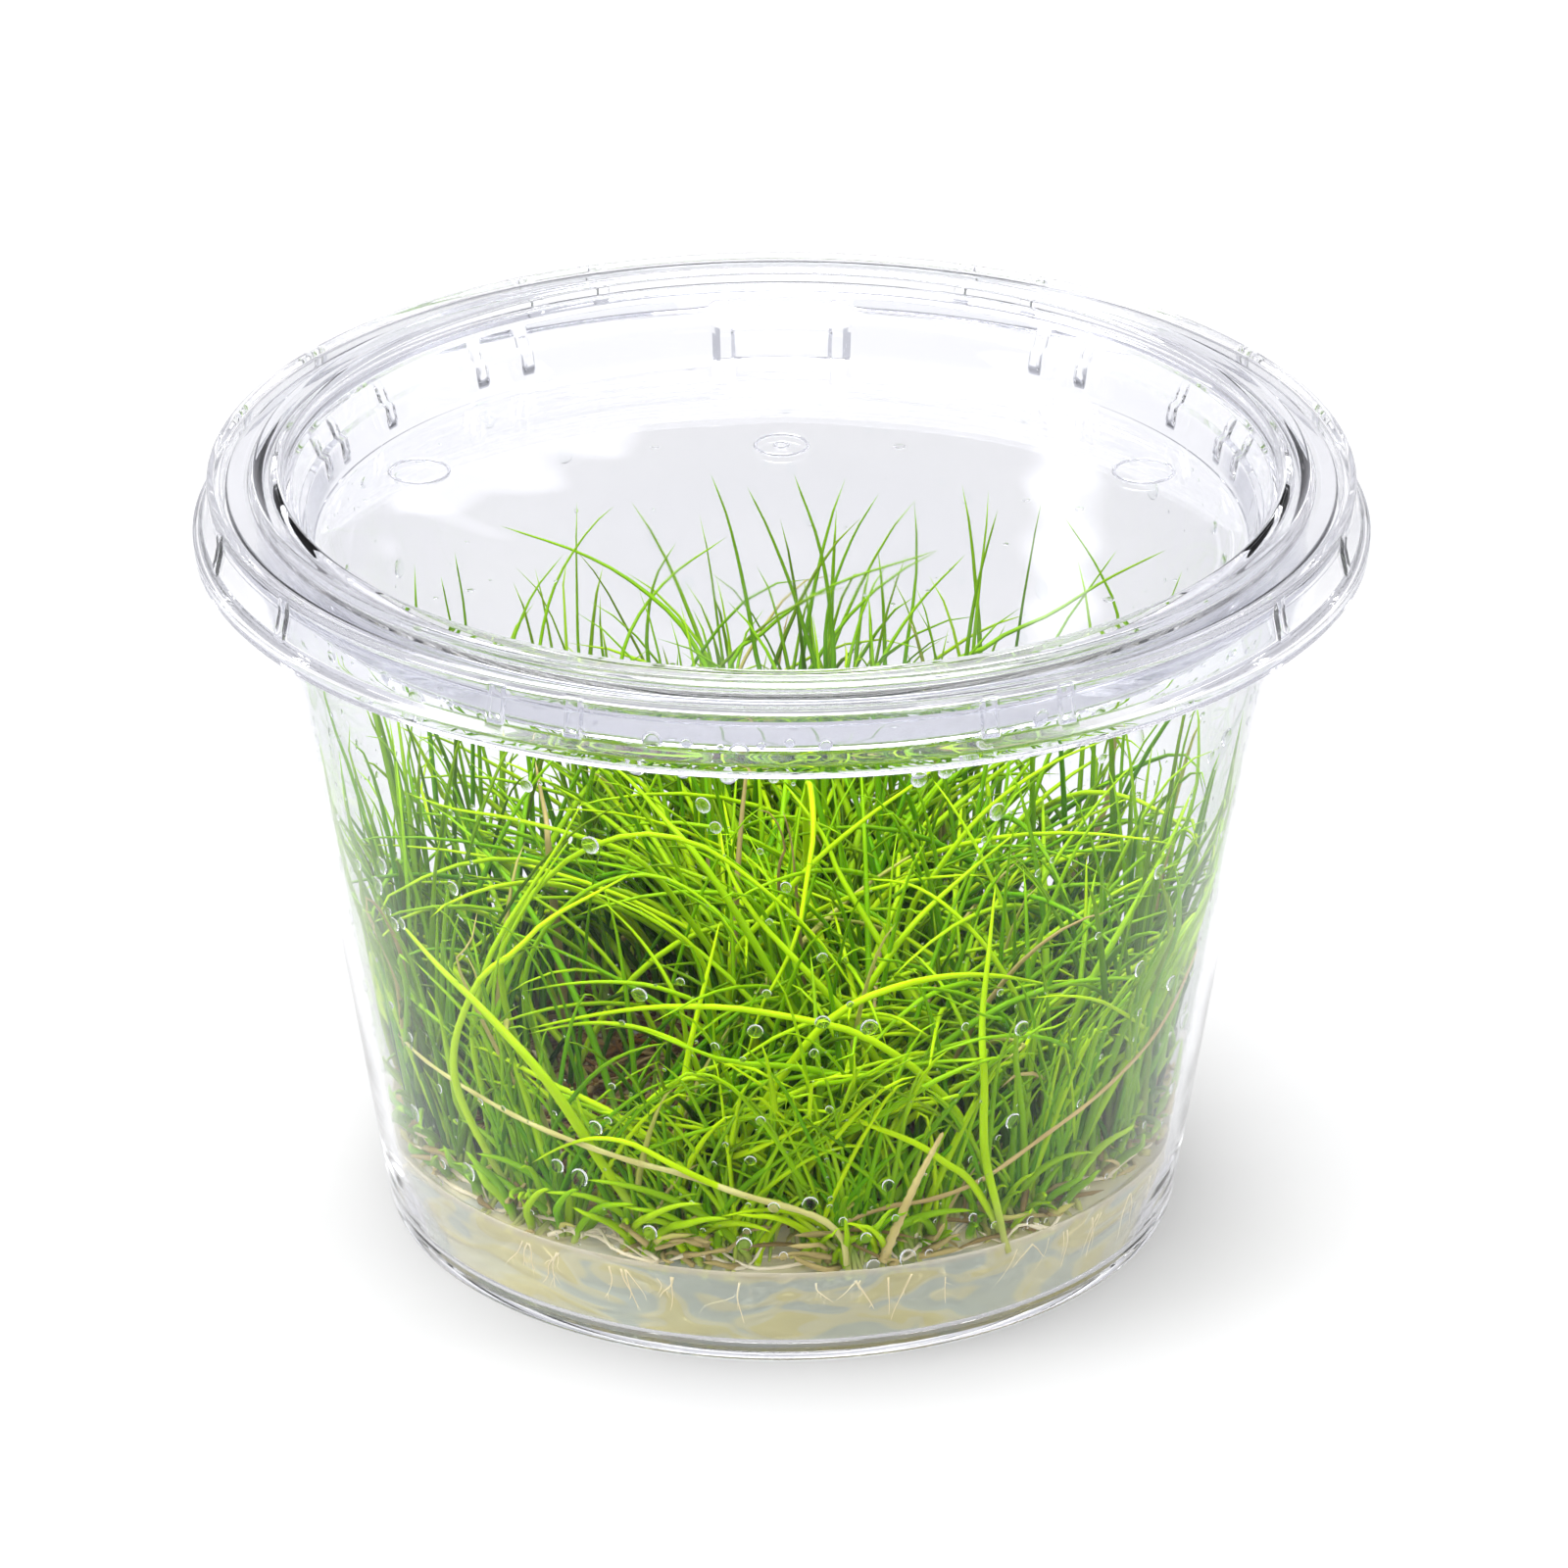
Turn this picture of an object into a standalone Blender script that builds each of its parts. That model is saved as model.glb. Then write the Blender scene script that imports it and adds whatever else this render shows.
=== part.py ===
"""Dwarf hairgrass growing in a lidded tissue culture cup.

A clear tapered cup holds a low bed of jelly. Many small plants stand on the jelly, each a crown
with needle leaves, and a few straw-coloured runners arch along the front wall. A clear snap lid
with a recessed panel closes the cup.

Metres, +Z up. The origin is the middle of the cup's foot, and -Y is the front.
The sizes below are in millimetres and are turned into metres where a mesh is made.
"""

import math
import random

import bmesh
import bpy
from mathutils import Matrix, Vector

MM = 0.001
GAP = 0.3

# Cup
FOOT_R = 34.4
FOOT_ROUNDING = 1.7
FOOT_RING_WIDTH = 5.2
FOOT_RECESS = 0.6
WALL_SLOPE = 0.157
WALL_T = 1.1
FLOOR_Z = 1.9
WALL_TOP_Z = 64.6
CUP_RIM_R = 47.3
CUP_RIM_Z = 67.0
CUP_RIM_T = 1.3

# Lid
BEAD_R = 50.1
BEAD_BOTTOM_Z = 62.3
BEAD_H = 1.7
SKIRT_TOP_Z = 66.6
RIM_R = 48.8
RIM_CORNER_Z = 68.2
LEDGE_Z = 67.9
RING_R_OUT = 45.0
RING_R_IN = 42.4
RING_Z = 68.7
WELL_STEP_HIGH_Z = 66.8
WELL_STEP_LOW_Z = 64.7
PANEL_R = 39.4
PANEL_Z = 61.6
LID_T = 1.0

# Fittings moulded on the lid, angles in degrees from the front, on both sides
LUG_ANGLES = (20, 28, 57, 74, 106, 123, 152, 160)
LUG_WIDTH = 1.2
CLIP_ANGLES = (104, 110, 122, 139, 146)
CLIP_WIDTH = 0.9
TAB_WIDTH = 12.4
TAB_STEP_WIDTH = 9.9
PIP_HEIGHT = 0.2
PIPS = {"gate": (0.0, 19.7, 2.4), "left_eject": (-31.4, 13.9, 2.7), "right_eject": (31.4, 13.9, 2.7)}

# Jelly
GEL_TOP_Z = 8.6
GEL_MENISCUS = 0.7

# Plants
RING_RADII = (0.0, 10.5, 20.5, 29.6)
RING_COUNTS = (1, 6, 10, 13)
CROWN_R = 2.1
CROWN_H = 1.5
LEAVES_PER_TUFT = 6
LEAF_R = 0.42
LEAF_GAP = 0.35
LEAF_BENDS = 4
LEAF_TIP_R = 0.12
TALLEST_Z = 53.0
LEAF_TRIES = 400
LEAST_LEAN = 0.1
MOST_LEAN = 0.9
SEED = 7

# Sides of the turned bodies
CUP_STEPS = 40
LID_STEPS = 40
GEL_STEPS = 30

RUNNER_R = 0.45
RUNNER_SIDES = 6
# Routes chosen by eye, from the rooted end on the jelly to the free end
RUNNER_ROUTES = {
    "runner_left": [
        (5.4, -33.2, 9.4), (5.0, -33.6, 12.2), (2.7, -33.8, 14.4), (-3.1, -33.9, 16.4),
        (-8.0, -33.1, 17.9), (-13.0, -31.6, 18.6), (-19.6, -28.3, 19.6), (-24.8, -23.8, 20.2),
        (-30.0, -16.6, 20.1), (-33.6, -8.6, 19.4),
    ],
    "runner_right": [
        (3.4, -30.2, 9.4), (5.0, -31.2, 12.2), (8.8, -30.8, 13.6), (12.6, -29.9, 13.9),
        (16.8, -28.2, 14.9), (21.8, -25.4, 17.4), (27.0, -21.0, 19.6), (32.0, -14.0, 21.9),
        (36.2, -5.4, 25.6),
    ],
    "runner_back": [
        (-7.5, 30.3, 9.4), (-6.6, 32.2, 14.0), (-3.0, 33.8, 18.6), (4.0, 34.2, 21.4),
        (12.0, 32.6, 21.0), (21.0, 27.6, 18.5), (27.4, 20.6, 14.6),
    ],
    "dead_leaf": [
        (8.4, -32.5, 9.4), (9.7, -32.8, 13.2), (11.3, -32.6, 17.2), (13.4, -32.0, 21.4),
    ],
}

COLOURS = {
    "clear_cup": (0.93, 0.94, 0.97, 0.05, 0.35),
    "clear_lid": (0.92, 0.93, 0.97, 0.05, 0.35),
    "jelly": (0.86, 0.84, 0.74, 0.12, 0.7),
    "leaf": (0.20, 0.52, 0.03, 0.38, 1.0),
    "straw": (0.66, 0.58, 0.30, 0.5, 1.0),
}


def material(name):
    red, green, blue, roughness, alpha = COLOURS[name]
    made = bpy.data.materials.get(name)
    if made:
        return made
    made = bpy.data.materials.new(name)
    made.use_nodes = True
    shader = made.node_tree.nodes["Principled BSDF"]
    shader.inputs["Base Color"].default_value = (red, green, blue, 1)
    shader.inputs["Roughness"].default_value = roughness
    shader.inputs["Metallic"].default_value = 0
    shader.inputs["Alpha"].default_value = alpha
    made.diffuse_color = (red, green, blue, alpha)
    return made


def add_object(name, bm, slot):
    """Turns a bmesh in millimetres into an object in metres."""
    bmesh.ops.scale(bm, vec=(MM, MM, MM), verts=bm.verts)
    mesh = bpy.data.meshes.new(name)
    bm.to_mesh(mesh)
    bm.free()
    mesh.materials.append(material(slot))
    mesh.shade_smooth()
    mesh.set_sharp_from_angle(angle=math.radians(40))
    made = bpy.data.objects.new(name, mesh)
    bpy.context.scene.collection.objects.link(made)
    return made


def lathe(profile, steps):
    """A closed turned body from (radius, height) points that start and end on the axis."""
    bm = bmesh.new()
    rings = []
    for radius, height in profile:
        if radius == 0:
            rings.append([bm.verts.new((0, 0, height))])
            continue
        angles = [2 * math.pi * k / steps for k in range(steps)]
        rings.append([bm.verts.new((radius * math.sin(a), -radius * math.cos(a), height)) for a in angles])
    for upper, lower in zip(rings, rings[1:]):
        for k in range(steps):
            after = (k + 1) % steps
            corners = [upper[k % len(upper)], lower[k % len(lower)]]
            if len(lower) > 1:
                corners.append(lower[after])
            if len(upper) > 1:
                corners.append(upper[after])
            bm.faces.new(corners)
    return bm


def wall_radius(z):
    """Outside radius of the cup's wall."""
    return FOOT_R + WALL_SLOPE * z


def inner_radius(z):
    return wall_radius(z) - WALL_T


def cup_profile():
    top_in = inner_radius(WALL_TOP_Z)
    top_out = wall_radius(WALL_TOP_Z)
    ring_in = FOOT_R - FOOT_ROUNDING - FOOT_RING_WIDTH
    return [
        (0, FLOOR_Z),
        (inner_radius(FLOOR_Z) - 1.2, FLOOR_Z),
        (inner_radius(FLOOR_Z + 1.2), FLOOR_Z + 1.2),
        (top_in, WALL_TOP_Z),
        (top_in + 0.1, CUP_RIM_Z - 0.4),
        (top_in + 0.5, CUP_RIM_Z),
        (CUP_RIM_R - 0.4, CUP_RIM_Z),
        (CUP_RIM_R, CUP_RIM_Z - 0.4),
        (CUP_RIM_R, CUP_RIM_Z - CUP_RIM_T),
        (top_out + 0.4, CUP_RIM_Z - CUP_RIM_T),
        (top_out, WALL_TOP_Z),
        (wall_radius(FOOT_ROUNDING), FOOT_ROUNDING),
        (FOOT_R - 0.3 * FOOT_ROUNDING, 0.3 * FOOT_ROUNDING),
        (FOOT_R - FOOT_ROUNDING, 0),
        (ring_in, 0),
        (ring_in - FOOT_RECESS, FOOT_RECESS),
        (0, FOOT_RECESS),
    ]


def lid_profile():
    well_top = RING_R_IN - 0.5
    return [
        (0, PANEL_Z),
        (PANEL_R, PANEL_Z),
        (PANEL_R + 0.7, PANEL_Z + 0.7),
        (PANEL_R + 1.1, WELL_STEP_LOW_Z - 0.1),
        (PANEL_R + 1.6, WELL_STEP_LOW_Z + 0.1),
        (well_top - 0.4, WELL_STEP_HIGH_Z - 0.1),
        (well_top, WELL_STEP_HIGH_Z + 0.1),
        (RING_R_IN - 0.2, RING_Z - 0.5),
        (RING_R_IN + 0.4, RING_Z),
        (RING_R_OUT - 0.4, RING_Z),
        (RING_R_OUT, RING_Z - 0.3),
        (RING_R_OUT + 0.2, LEDGE_Z),
        (RIM_R - 1.2, LEDGE_Z),
        (RIM_R - 0.5, RIM_CORNER_Z),
        (RIM_R - 0.1, RIM_CORNER_Z - 0.4),
        (RIM_R, SKIRT_TOP_Z),
        (BEAD_R - 0.5, BEAD_BOTTOM_Z + BEAD_H),
        (BEAD_R, BEAD_BOTTOM_Z + 0.6 * BEAD_H),
        (BEAD_R - 0.3, BEAD_BOTTOM_Z),
        (BEAD_R - 1.3, BEAD_BOTTOM_Z),
        (BEAD_R - 1.6, BEAD_BOTTOM_Z + BEAD_H),
        (RIM_R - LID_T, SKIRT_TOP_Z),
        (CUP_RIM_R + GAP, CUP_RIM_Z),
        (CUP_RIM_R, CUP_RIM_Z + GAP),
        (RING_R_IN + LID_T, CUP_RIM_Z + GAP),
        (well_top + 0.6, WELL_STEP_LOW_Z),
        (PANEL_R + 1.3, PANEL_Z - 0.3),
        (PANEL_R + 0.4, PANEL_Z - LID_T),
        (0, PANEL_Z - LID_T),
    ]


def add_block(bm, angle, width, low, high):
    """A block that stands on a round wall. low and high are (inner radius, outer radius, height)."""
    corners = []
    for near, far, height in (low, high):
        for radius, side in ((near, -1), (near, 1), (far, 1), (far, -1)):
            corners.append(Vector((side * width / 2, -radius, height)))
    turn = Matrix.Rotation(math.radians(angle), 4, "Z")
    verts = [bm.verts.new(turn @ corner) for corner in corners]
    for face in ((0, 1, 2, 3), (7, 6, 5, 4), (0, 4, 5, 1), (1, 5, 6, 2), (2, 6, 7, 3), (3, 7, 4, 0)):
        bm.faces.new([verts[k] for k in face])


def lid_fittings():
    """The lugs, clips, tab and pips, which the lid's union takes in."""
    bm = bmesh.new()
    for side in (-1, 1):
        for angle in LUG_ANGLES:
            low = (BEAD_R - 1.1, BEAD_R - 0.15, BEAD_BOTTOM_Z + BEAD_H + 1.2)
            high = (RIM_R - 0.6, RIM_R + 0.35, RIM_CORNER_Z - 0.6)
            add_block(bm, side * angle, LUG_WIDTH, low, high)
        for angle in CLIP_ANGLES:
            low = (PANEL_R + 0.4, PANEL_R + 1.5, PANEL_Z + 1.5)
            high = (PANEL_R + 0.7, PANEL_R + 1.9, WELL_STEP_LOW_Z + 1.4)
            add_block(bm, side * angle, CLIP_WIDTH, low, high)
    tab_out = PANEL_R + 1.6
    low = (tab_out - 1.5, tab_out, PANEL_Z + 2.1)
    high = (tab_out - 1.1, tab_out + 0.4, WELL_STEP_HIGH_Z - 0.4)
    add_block(bm, 180, TAB_WIDTH, low, high)
    low = (tab_out - 2.6, tab_out - 0.9, PANEL_Z + 0.8)
    high = (tab_out - 2.2, tab_out - 0.7, WELL_STEP_LOW_Z + 0.2)
    add_block(bm, 180, TAB_STEP_WIDTH, low, high)
    for x, y, radius in PIPS.values():
        place = Matrix.Translation((x, y, PANEL_Z + PIP_HEIGHT / 2 - 0.15))
        bmesh.ops.create_cone(
            bm, cap_ends=True, segments=18, radius1=radius, radius2=radius, depth=PIP_HEIGHT + 0.3, matrix=place
        )
    bmesh.ops.recalc_face_normals(bm, faces=bm.faces)
    return bm


def add_union(target, helper):
    helper.hide_render = True
    helper.display_type = "WIRE"
    joined = target.modifiers.new("Fittings", "BOOLEAN")
    joined.operation = "UNION"
    joined.solver = "EXACT"
    joined.use_self = True
    joined.object = helper


def gel_profile():
    foot = FLOOR_Z + GAP
    return [
        (0, GEL_TOP_Z),
        (inner_radius(GEL_TOP_Z) - 2.6, GEL_TOP_Z),
        (inner_radius(GEL_TOP_Z) - GAP - 0.1, GEL_TOP_Z + GEL_MENISCUS),
        (inner_radius(foot + 1.4) - GAP - 0.1, foot + 1.4),
        (inner_radius(foot) - 1.9, foot),
        (0, foot),
    ]


def smooth_route(points, count):
    """Points read at even steps from a smooth curve through the route."""
    ends = [2 * points[0] - points[1]] + points + [2 * points[-1] - points[-2]]
    spans = len(points) - 1
    read = []
    for k in range(count + 1):
        place = min(k / count * spans, spans - 1e-6)
        first = int(place)
        t = place - first
        a, b, c, d = ends[first : first + 4]
        bend = 2 * b + (c - a) * t + (2 * a - 5 * b + 4 * c - d) * t * t + (3 * b - a - 3 * c + d) * t**3
        read.append(bend / 2)
    return read


def side_vectors(direction, start):
    across = start - direction * start.dot(direction)
    across.normalize()
    return across, direction.cross(across)


def grow(bm, base, path, radii):
    """Extrudes a face along the path as a tapering stem that ends in a point."""
    face = base
    across = base.verts[0].co - base.calc_center_median()
    for k in range(1, len(path)):
        direction = (path[min(k + 1, len(path) - 1)] - path[k - 1]).normalized()
        across, up = side_vectors(direction, across)
        made = bmesh.ops.extrude_discrete_faces(bm, faces=[face])["faces"]
        face = made[0]
        sides = len(face.verts)
        for n, vert in enumerate(face.verts):
            turn = 2 * math.pi * n / sides
            vert.co = path[k] + radii[k] * (math.cos(turn) * across + math.sin(turn) * up)
    return face


def segment_distance(a, b, c, d):
    """Shortest distance between the segments ab and cd."""
    u, v, w = b - a, d - c, a - c
    uu, uv, vv, uw, vw = u.dot(u), u.dot(v), v.dot(v), u.dot(w), v.dot(w)
    spread = uu * vv - uv * uv
    s = 0.0 if spread < 1e-9 else min(max((uv * vw - vv * uw) / spread, 0), 1)
    t = min(max((uv * s + vw) / vv, 0), 1)
    s = min(max((uv * t - uw) / uu, 0), 1)
    return (w + s * u - t * v).length


def path_box(path, margin):
    low = [min(p[k] for p in path) - margin for k in range(3)]
    high = [max(p[k] for p in path) + margin for k in range(3)]
    return low, high


def clear_of(path, others, clearance):
    low, high = path_box(path, clearance)
    for other, other_low, other_high in others:
        if any(high[k] < other_low[k] or other_high[k] < low[k] for k in range(3)):
            continue
        for a, b in zip(path, path[1:]):
            for c, d in zip(other, other[1:]):
                if segment_distance(a, b, c, d) < clearance:
                    return False
    return True


def inside_cup(path):
    for point in path:
        if math.hypot(point.x, point.y) > inner_radius(point.z) - LEAF_R - 2 * GAP or point.z > TALLEST_Z:
            return False
    return True


def tuft_places():
    places = []
    for ring, (radius, count) in enumerate(zip(RING_RADII, RING_COUNTS)):
        for k in range(count):
            angle = 2 * math.pi * (k + 0.5 * ring) / count
            places.append(Vector((radius * math.sin(angle), -radius * math.cos(angle), 0)))
    return places


def leaf_height(place, rng):
    """Leaves are tallest by the wall and at the back, and low round the hollow left of the middle."""
    outward = place.length / RING_RADII[-1]
    back = 0.5 + 0.5 * place.y / RING_RADII[-1]
    return (22 + 13 * outward**1.5 + 12 * back) * rng.uniform(0.78, 1.08)


def leaf_path(start, away, place, rng):
    """A leaf that rises from the crown, leans away from it and bends over towards its tip."""
    height = leaf_height(place, rng)
    lean = LEAST_LEAN + (MOST_LEAN - LEAST_LEAN) * rng.random() ** 2
    turn = Matrix.Rotation(rng.uniform(-0.5, 0.5), 4, "Z")
    heading = turn @ away
    tip = start + heading * height * lean + Vector((0, 0, height * (1 - 0.35 * lean)))
    middle = start + heading * height * lean * 0.3 + Vector((0, 0, height * 0.62))
    path = []
    for k in range(LEAF_BENDS + 1):
        t = k / LEAF_BENDS
        path.append(start.lerp(middle, t).lerp(middle.lerp(tip, t), t))
    return path


def add_tufts(blocked):
    """One object for each plant. No leaf comes nearer than the leaf gap to another plant's."""
    rng = random.Random(SEED)
    radii = [LEAF_R * (1 - 0.55 * (k / LEAF_BENDS) ** 2) for k in range(LEAF_BENDS)] + [LEAF_TIP_R]
    crown_z = GEL_TOP_Z + GAP + CROWN_H
    places = tuft_places()
    crowns = []
    for place in places:
        stub = [place + Vector((0, 0, crown_z - 1)), place + Vector((0, 0, crown_z + 1))]
        crowns.append((stub, *path_box(stub, 0)))
    taken = list(blocked)
    for number, place in enumerate(places, 1):
        bm = bmesh.new()
        bmesh.ops.create_icosphere(bm, subdivisions=1, radius=1)
        bmesh.ops.scale(bm, vec=(CROWN_R, CROWN_R, CROWN_H), verts=bm.verts)
        bmesh.ops.rotate(bm, cent=(0, 0, 0), matrix=Matrix.Rotation(rng.uniform(0, 6.28), 3, "Z"), verts=bm.verts)
        bmesh.ops.translate(bm, vec=place + Vector((0, 0, crown_z)), verts=bm.verts)
        bm.faces.ensure_lookup_table()
        upper = [face for face in bm.faces if face.calc_center_median().z > crown_z + 0.1]
        rng.shuffle(upper)
        own = []
        others = [crown for k, crown in enumerate(crowns, 1) if k != number]
        for face in upper:
            if len(own) == LEAVES_PER_TUFT:
                break
            start = face.calc_center_median()
            away = start - place
            away.z = 0
            away.normalize()
            for _ in range(LEAF_TRIES):
                path = leaf_path(start, away, place, rng)
                if not inside_cup(path[1:]):
                    continue
                if not clear_of(path, taken, 2 * LEAF_R + LEAF_GAP):
                    continue
                if not clear_of(path, others, CROWN_R + LEAF_R + LEAF_GAP):
                    continue
                if not clear_of(path[1:], own, 2 * LEAF_R):
                    continue
                grow(bm, face, path, radii)
                own.append((path[1:], *path_box(path[1:], 0)))
                break
        taken += own
        add_object(f"hairgrass_tuft_{number:02d}", bm, "leaf")


def add_runner(name, route):
    points = smooth_route([Vector(point) for point in route], 2 * (len(route) - 1))
    curve = bpy.data.curves.new(name, "CURVE")
    curve.dimensions = "3D"
    curve.bevel_depth = RUNNER_R * MM
    curve.bevel_resolution = (RUNNER_SIDES - 4) // 2
    curve.use_fill_caps = True
    line = curve.splines.new("POLY")
    line.points.add(len(points) - 1)
    for k, point in enumerate(points):
        line.points[k].co = (*(point * MM), 1)
        line.points[k].radius = 1 - 0.5 * k / len(points)
    curve.materials.append(material("straw"))
    made = bpy.data.objects.new(name, curve)
    bpy.context.scene.collection.objects.link(made)
    return points, *path_box(points, 0)


def main():
    for old in list(bpy.data.objects):
        bpy.data.objects.remove(old)
    add_object("cup", lathe(cup_profile(), CUP_STEPS), "clear_cup")
    lid = add_object("lid", lathe(lid_profile(), LID_STEPS), "clear_lid")
    add_union(lid, add_object("lid_fittings", lid_fittings(), "clear_lid"))
    add_object("gel", lathe(gel_profile(), GEL_STEPS), "jelly")
    runners = [add_runner(name, route) for name, route in RUNNER_ROUTES.items()]
    add_tufts(runners)


main()
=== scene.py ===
import math
import random

import bpy
import numpy as np
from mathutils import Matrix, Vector, noise


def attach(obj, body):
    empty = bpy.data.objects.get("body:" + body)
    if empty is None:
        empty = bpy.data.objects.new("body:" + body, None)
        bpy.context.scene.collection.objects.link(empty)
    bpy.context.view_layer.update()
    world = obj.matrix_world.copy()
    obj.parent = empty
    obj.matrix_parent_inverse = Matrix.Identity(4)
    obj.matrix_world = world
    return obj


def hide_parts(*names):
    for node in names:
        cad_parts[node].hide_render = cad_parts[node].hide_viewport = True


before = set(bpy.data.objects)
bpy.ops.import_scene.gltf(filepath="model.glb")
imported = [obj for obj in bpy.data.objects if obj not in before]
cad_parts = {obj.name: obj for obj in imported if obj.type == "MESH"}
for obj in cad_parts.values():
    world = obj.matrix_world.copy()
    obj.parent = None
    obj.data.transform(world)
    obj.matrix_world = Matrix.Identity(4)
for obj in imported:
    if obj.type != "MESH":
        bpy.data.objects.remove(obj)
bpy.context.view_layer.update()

# Dwarf hairgrass in a lidded culture cup. Lengths are in millimetres until a mesh is made.
# The front is -Y, and angles round the cup are counted from there, in degrees.
mm = 0.001
scene = bpy.context.scene


# The photograph's view, and what turns one of its pixels into a place

shot = {
    "elevation": 25.4,      # degrees above the floor
    "distance": 752.7,
    "aimHeight": 38.23,
    "lens": 200.0,
    "sensor": 36.0,
    "imageSide": 1600,
    "leftOfMiddle": 2.5,    # pixels by which the cup's axis misses the middle
}
tilt = math.radians(shot["elevation"])
lookAlong = Vector((0, math.cos(tilt), -math.sin(tilt)))
lookUp = Vector((0, math.sin(tilt), math.cos(tilt)))
eye = Vector((0, 0, shot["aimHeight"])) - shot["distance"] * lookAlong
focalPixels = shot["lens"] / shot["sensor"] * shot["imageSide"]


def seenAt(px, py, depth):
    # The place behind a pixel of the photograph, on the upright plane y = depth
    middle = shot["imageSide"] / 2
    ray = lookAlong + Vector(((px - middle + shot["leftOfMiddle"]) / focalPixels, 0, 0))
    ray = ray + lookUp * (middle - py) / focalPixels
    return eye + ray * (depth - eye.y) / ray.y


def addCamera():
    camera = bpy.data.objects.new("camera", bpy.data.cameras.new("camera"))
    scene.collection.objects.link(camera)
    camera.location = eye * mm
    camera.rotation_euler = (math.pi / 2 - tilt, 0, 0)
    camera.data.lens = shot["lens"]
    camera.data.sensor_width = shot["sensor"]
    camera.data.shift_x = shot["leftOfMiddle"] / shot["imageSide"]
    scene.camera = camera


# Node helpers

def addNode(tree, kind, values=None, **settings):
    node = tree.nodes.new(kind)
    for key, value in settings.items():
        setattr(node, key, value)
    for key, value in (values or {}).items():
        if isinstance(value, bpy.types.NodeSocket):
            tree.links.new(value, node.inputs[key])
        else:
            node.inputs[key].default_value = value
    return node


def addMath(tree, operation, first, second=0.0, third=0.0):
    values = {0: first, 1: second, 2: third}
    return addNode(tree, "ShaderNodeMath", values, operation=operation).outputs[0]


def stretched(tree, place, factors):
    # The same place with its three coordinates multiplied
    values = {0: place, 1: factors}
    return addNode(tree, "ShaderNodeVectorMath", values, operation="MULTIPLY").outputs[0]


def addRange(tree, value, low, high, newLow, newHigh):
    values = {"Value": value, "From Min": low, "From Max": high, "To Min": newLow, "To Max": newHigh}
    return addNode(tree, "ShaderNodeMapRange", values).outputs["Result"]


def addMix(tree, factor, first, second, blend="MIX"):
    node = addNode(tree, "ShaderNodeMix", {0: factor}, data_type="RGBA", blend_type=blend)
    for socket, value in ((node.inputs[6], first), (node.inputs[7], second)):
        if isinstance(value, bpy.types.NodeSocket):
            tree.links.new(value, socket)
        else:
            socket.default_value = (*value, 1)
    return node.outputs[2]


def addRamp(tree, factor, stops):
    node = addNode(tree, "ShaderNodeValToRGB", {"Fac": factor})
    ramp = node.color_ramp
    while len(ramp.elements) < len(stops):
        ramp.elements.new(0.5)
    for element, (place, colour) in zip(ramp.elements, stops):
        element.position = place
        element.color = (*colour, 1)
    return node.outputs["Color"]


def objectPlace(tree):
    return addNode(tree, "ShaderNodeTexCoord").outputs["Object"]


def addNoise(tree, place, scale, detail=2.0, distortion=0.0):
    values = {"Vector": place, "Scale": scale, "Detail": detail, "Distortion": distortion}
    return addNode(tree, "ShaderNodeTexNoise", values).outputs["Fac"]


def addBump(tree, height, distance, strength=1.0):
    values = {"Height": height, "Distance": distance, "Strength": strength}
    return addNode(tree, "ShaderNodeBump", values).outputs[0]


def addShader(tree, output, values):
    shader = addNode(tree, "ShaderNodeBsdfPrincipled", values)
    tree.links.new(shader.outputs[0], output.inputs["Surface"])
    return shader


def newMaterial(name):
    made = bpy.data.materials.new(name)
    made.use_nodes = True
    tree = made.node_tree
    tree.nodes.clear()
    return made, tree, addNode(tree, "ShaderNodeOutputMaterial")


def newGroup(name, inputs, outputs):
    group = bpy.data.node_groups.new(name, "ShaderNodeTree")
    for label, value in inputs.items():
        socket = group.interface.new_socket(label, in_out="INPUT", socket_type="NodeSocketFloat")
        socket.default_value = value
    for label, kind in outputs.items():
        group.interface.new_socket(label, in_out="OUTPUT", socket_type=kind)
    return group, addNode(group, "NodeGroupInput"), addNode(group, "NodeGroupOutput")


def placeGroup(tree, group, finish):
    node = addNode(tree, "ShaderNodeGroup", node_tree=group)
    for label, value in finish.items():
        node.inputs[label].default_value = value
    return node


# Shared effects

def mouldFlowGroup():
    # The faint waves, clouds and smears that a thin moulding keeps
    group, given, made = newGroup(
        "Mould Flow",
        {"Wave Scale": 60.0, "Smear Scale": 13.0, "Most Roughness": 0.024},
        {"Height": "NodeSocketFloat", "Roughness": "NodeSocketFloat", "Cloud": "NodeSocketFloat"},
    )
    place = objectPlace(group)
    waves = addNode(group, "ShaderNodeTexWave", {
        "Vector": place, "Scale": given.outputs["Wave Scale"], "Distortion": 0.0, "Detail": 0.0,
    }, bands_direction="DIAGONAL").outputs["Fac"]
    smears = addNode(group, "ShaderNodeTexWave", {
        "Vector": place, "Scale": given.outputs["Smear Scale"], "Distortion": 0.0, "Detail": 0.0,
    }, wave_type="RINGS", rings_direction="Z").outputs["Fac"]
    rough = addRange(group, smears, 0.7, 1.0, 0.0, given.outputs["Most Roughness"])
    group.links.new(waves, made.inputs["Height"])
    group.links.new(rough, made.inputs["Roughness"])
    group.links.new(smears, made.inputs["Cloud"])
    return group


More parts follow.
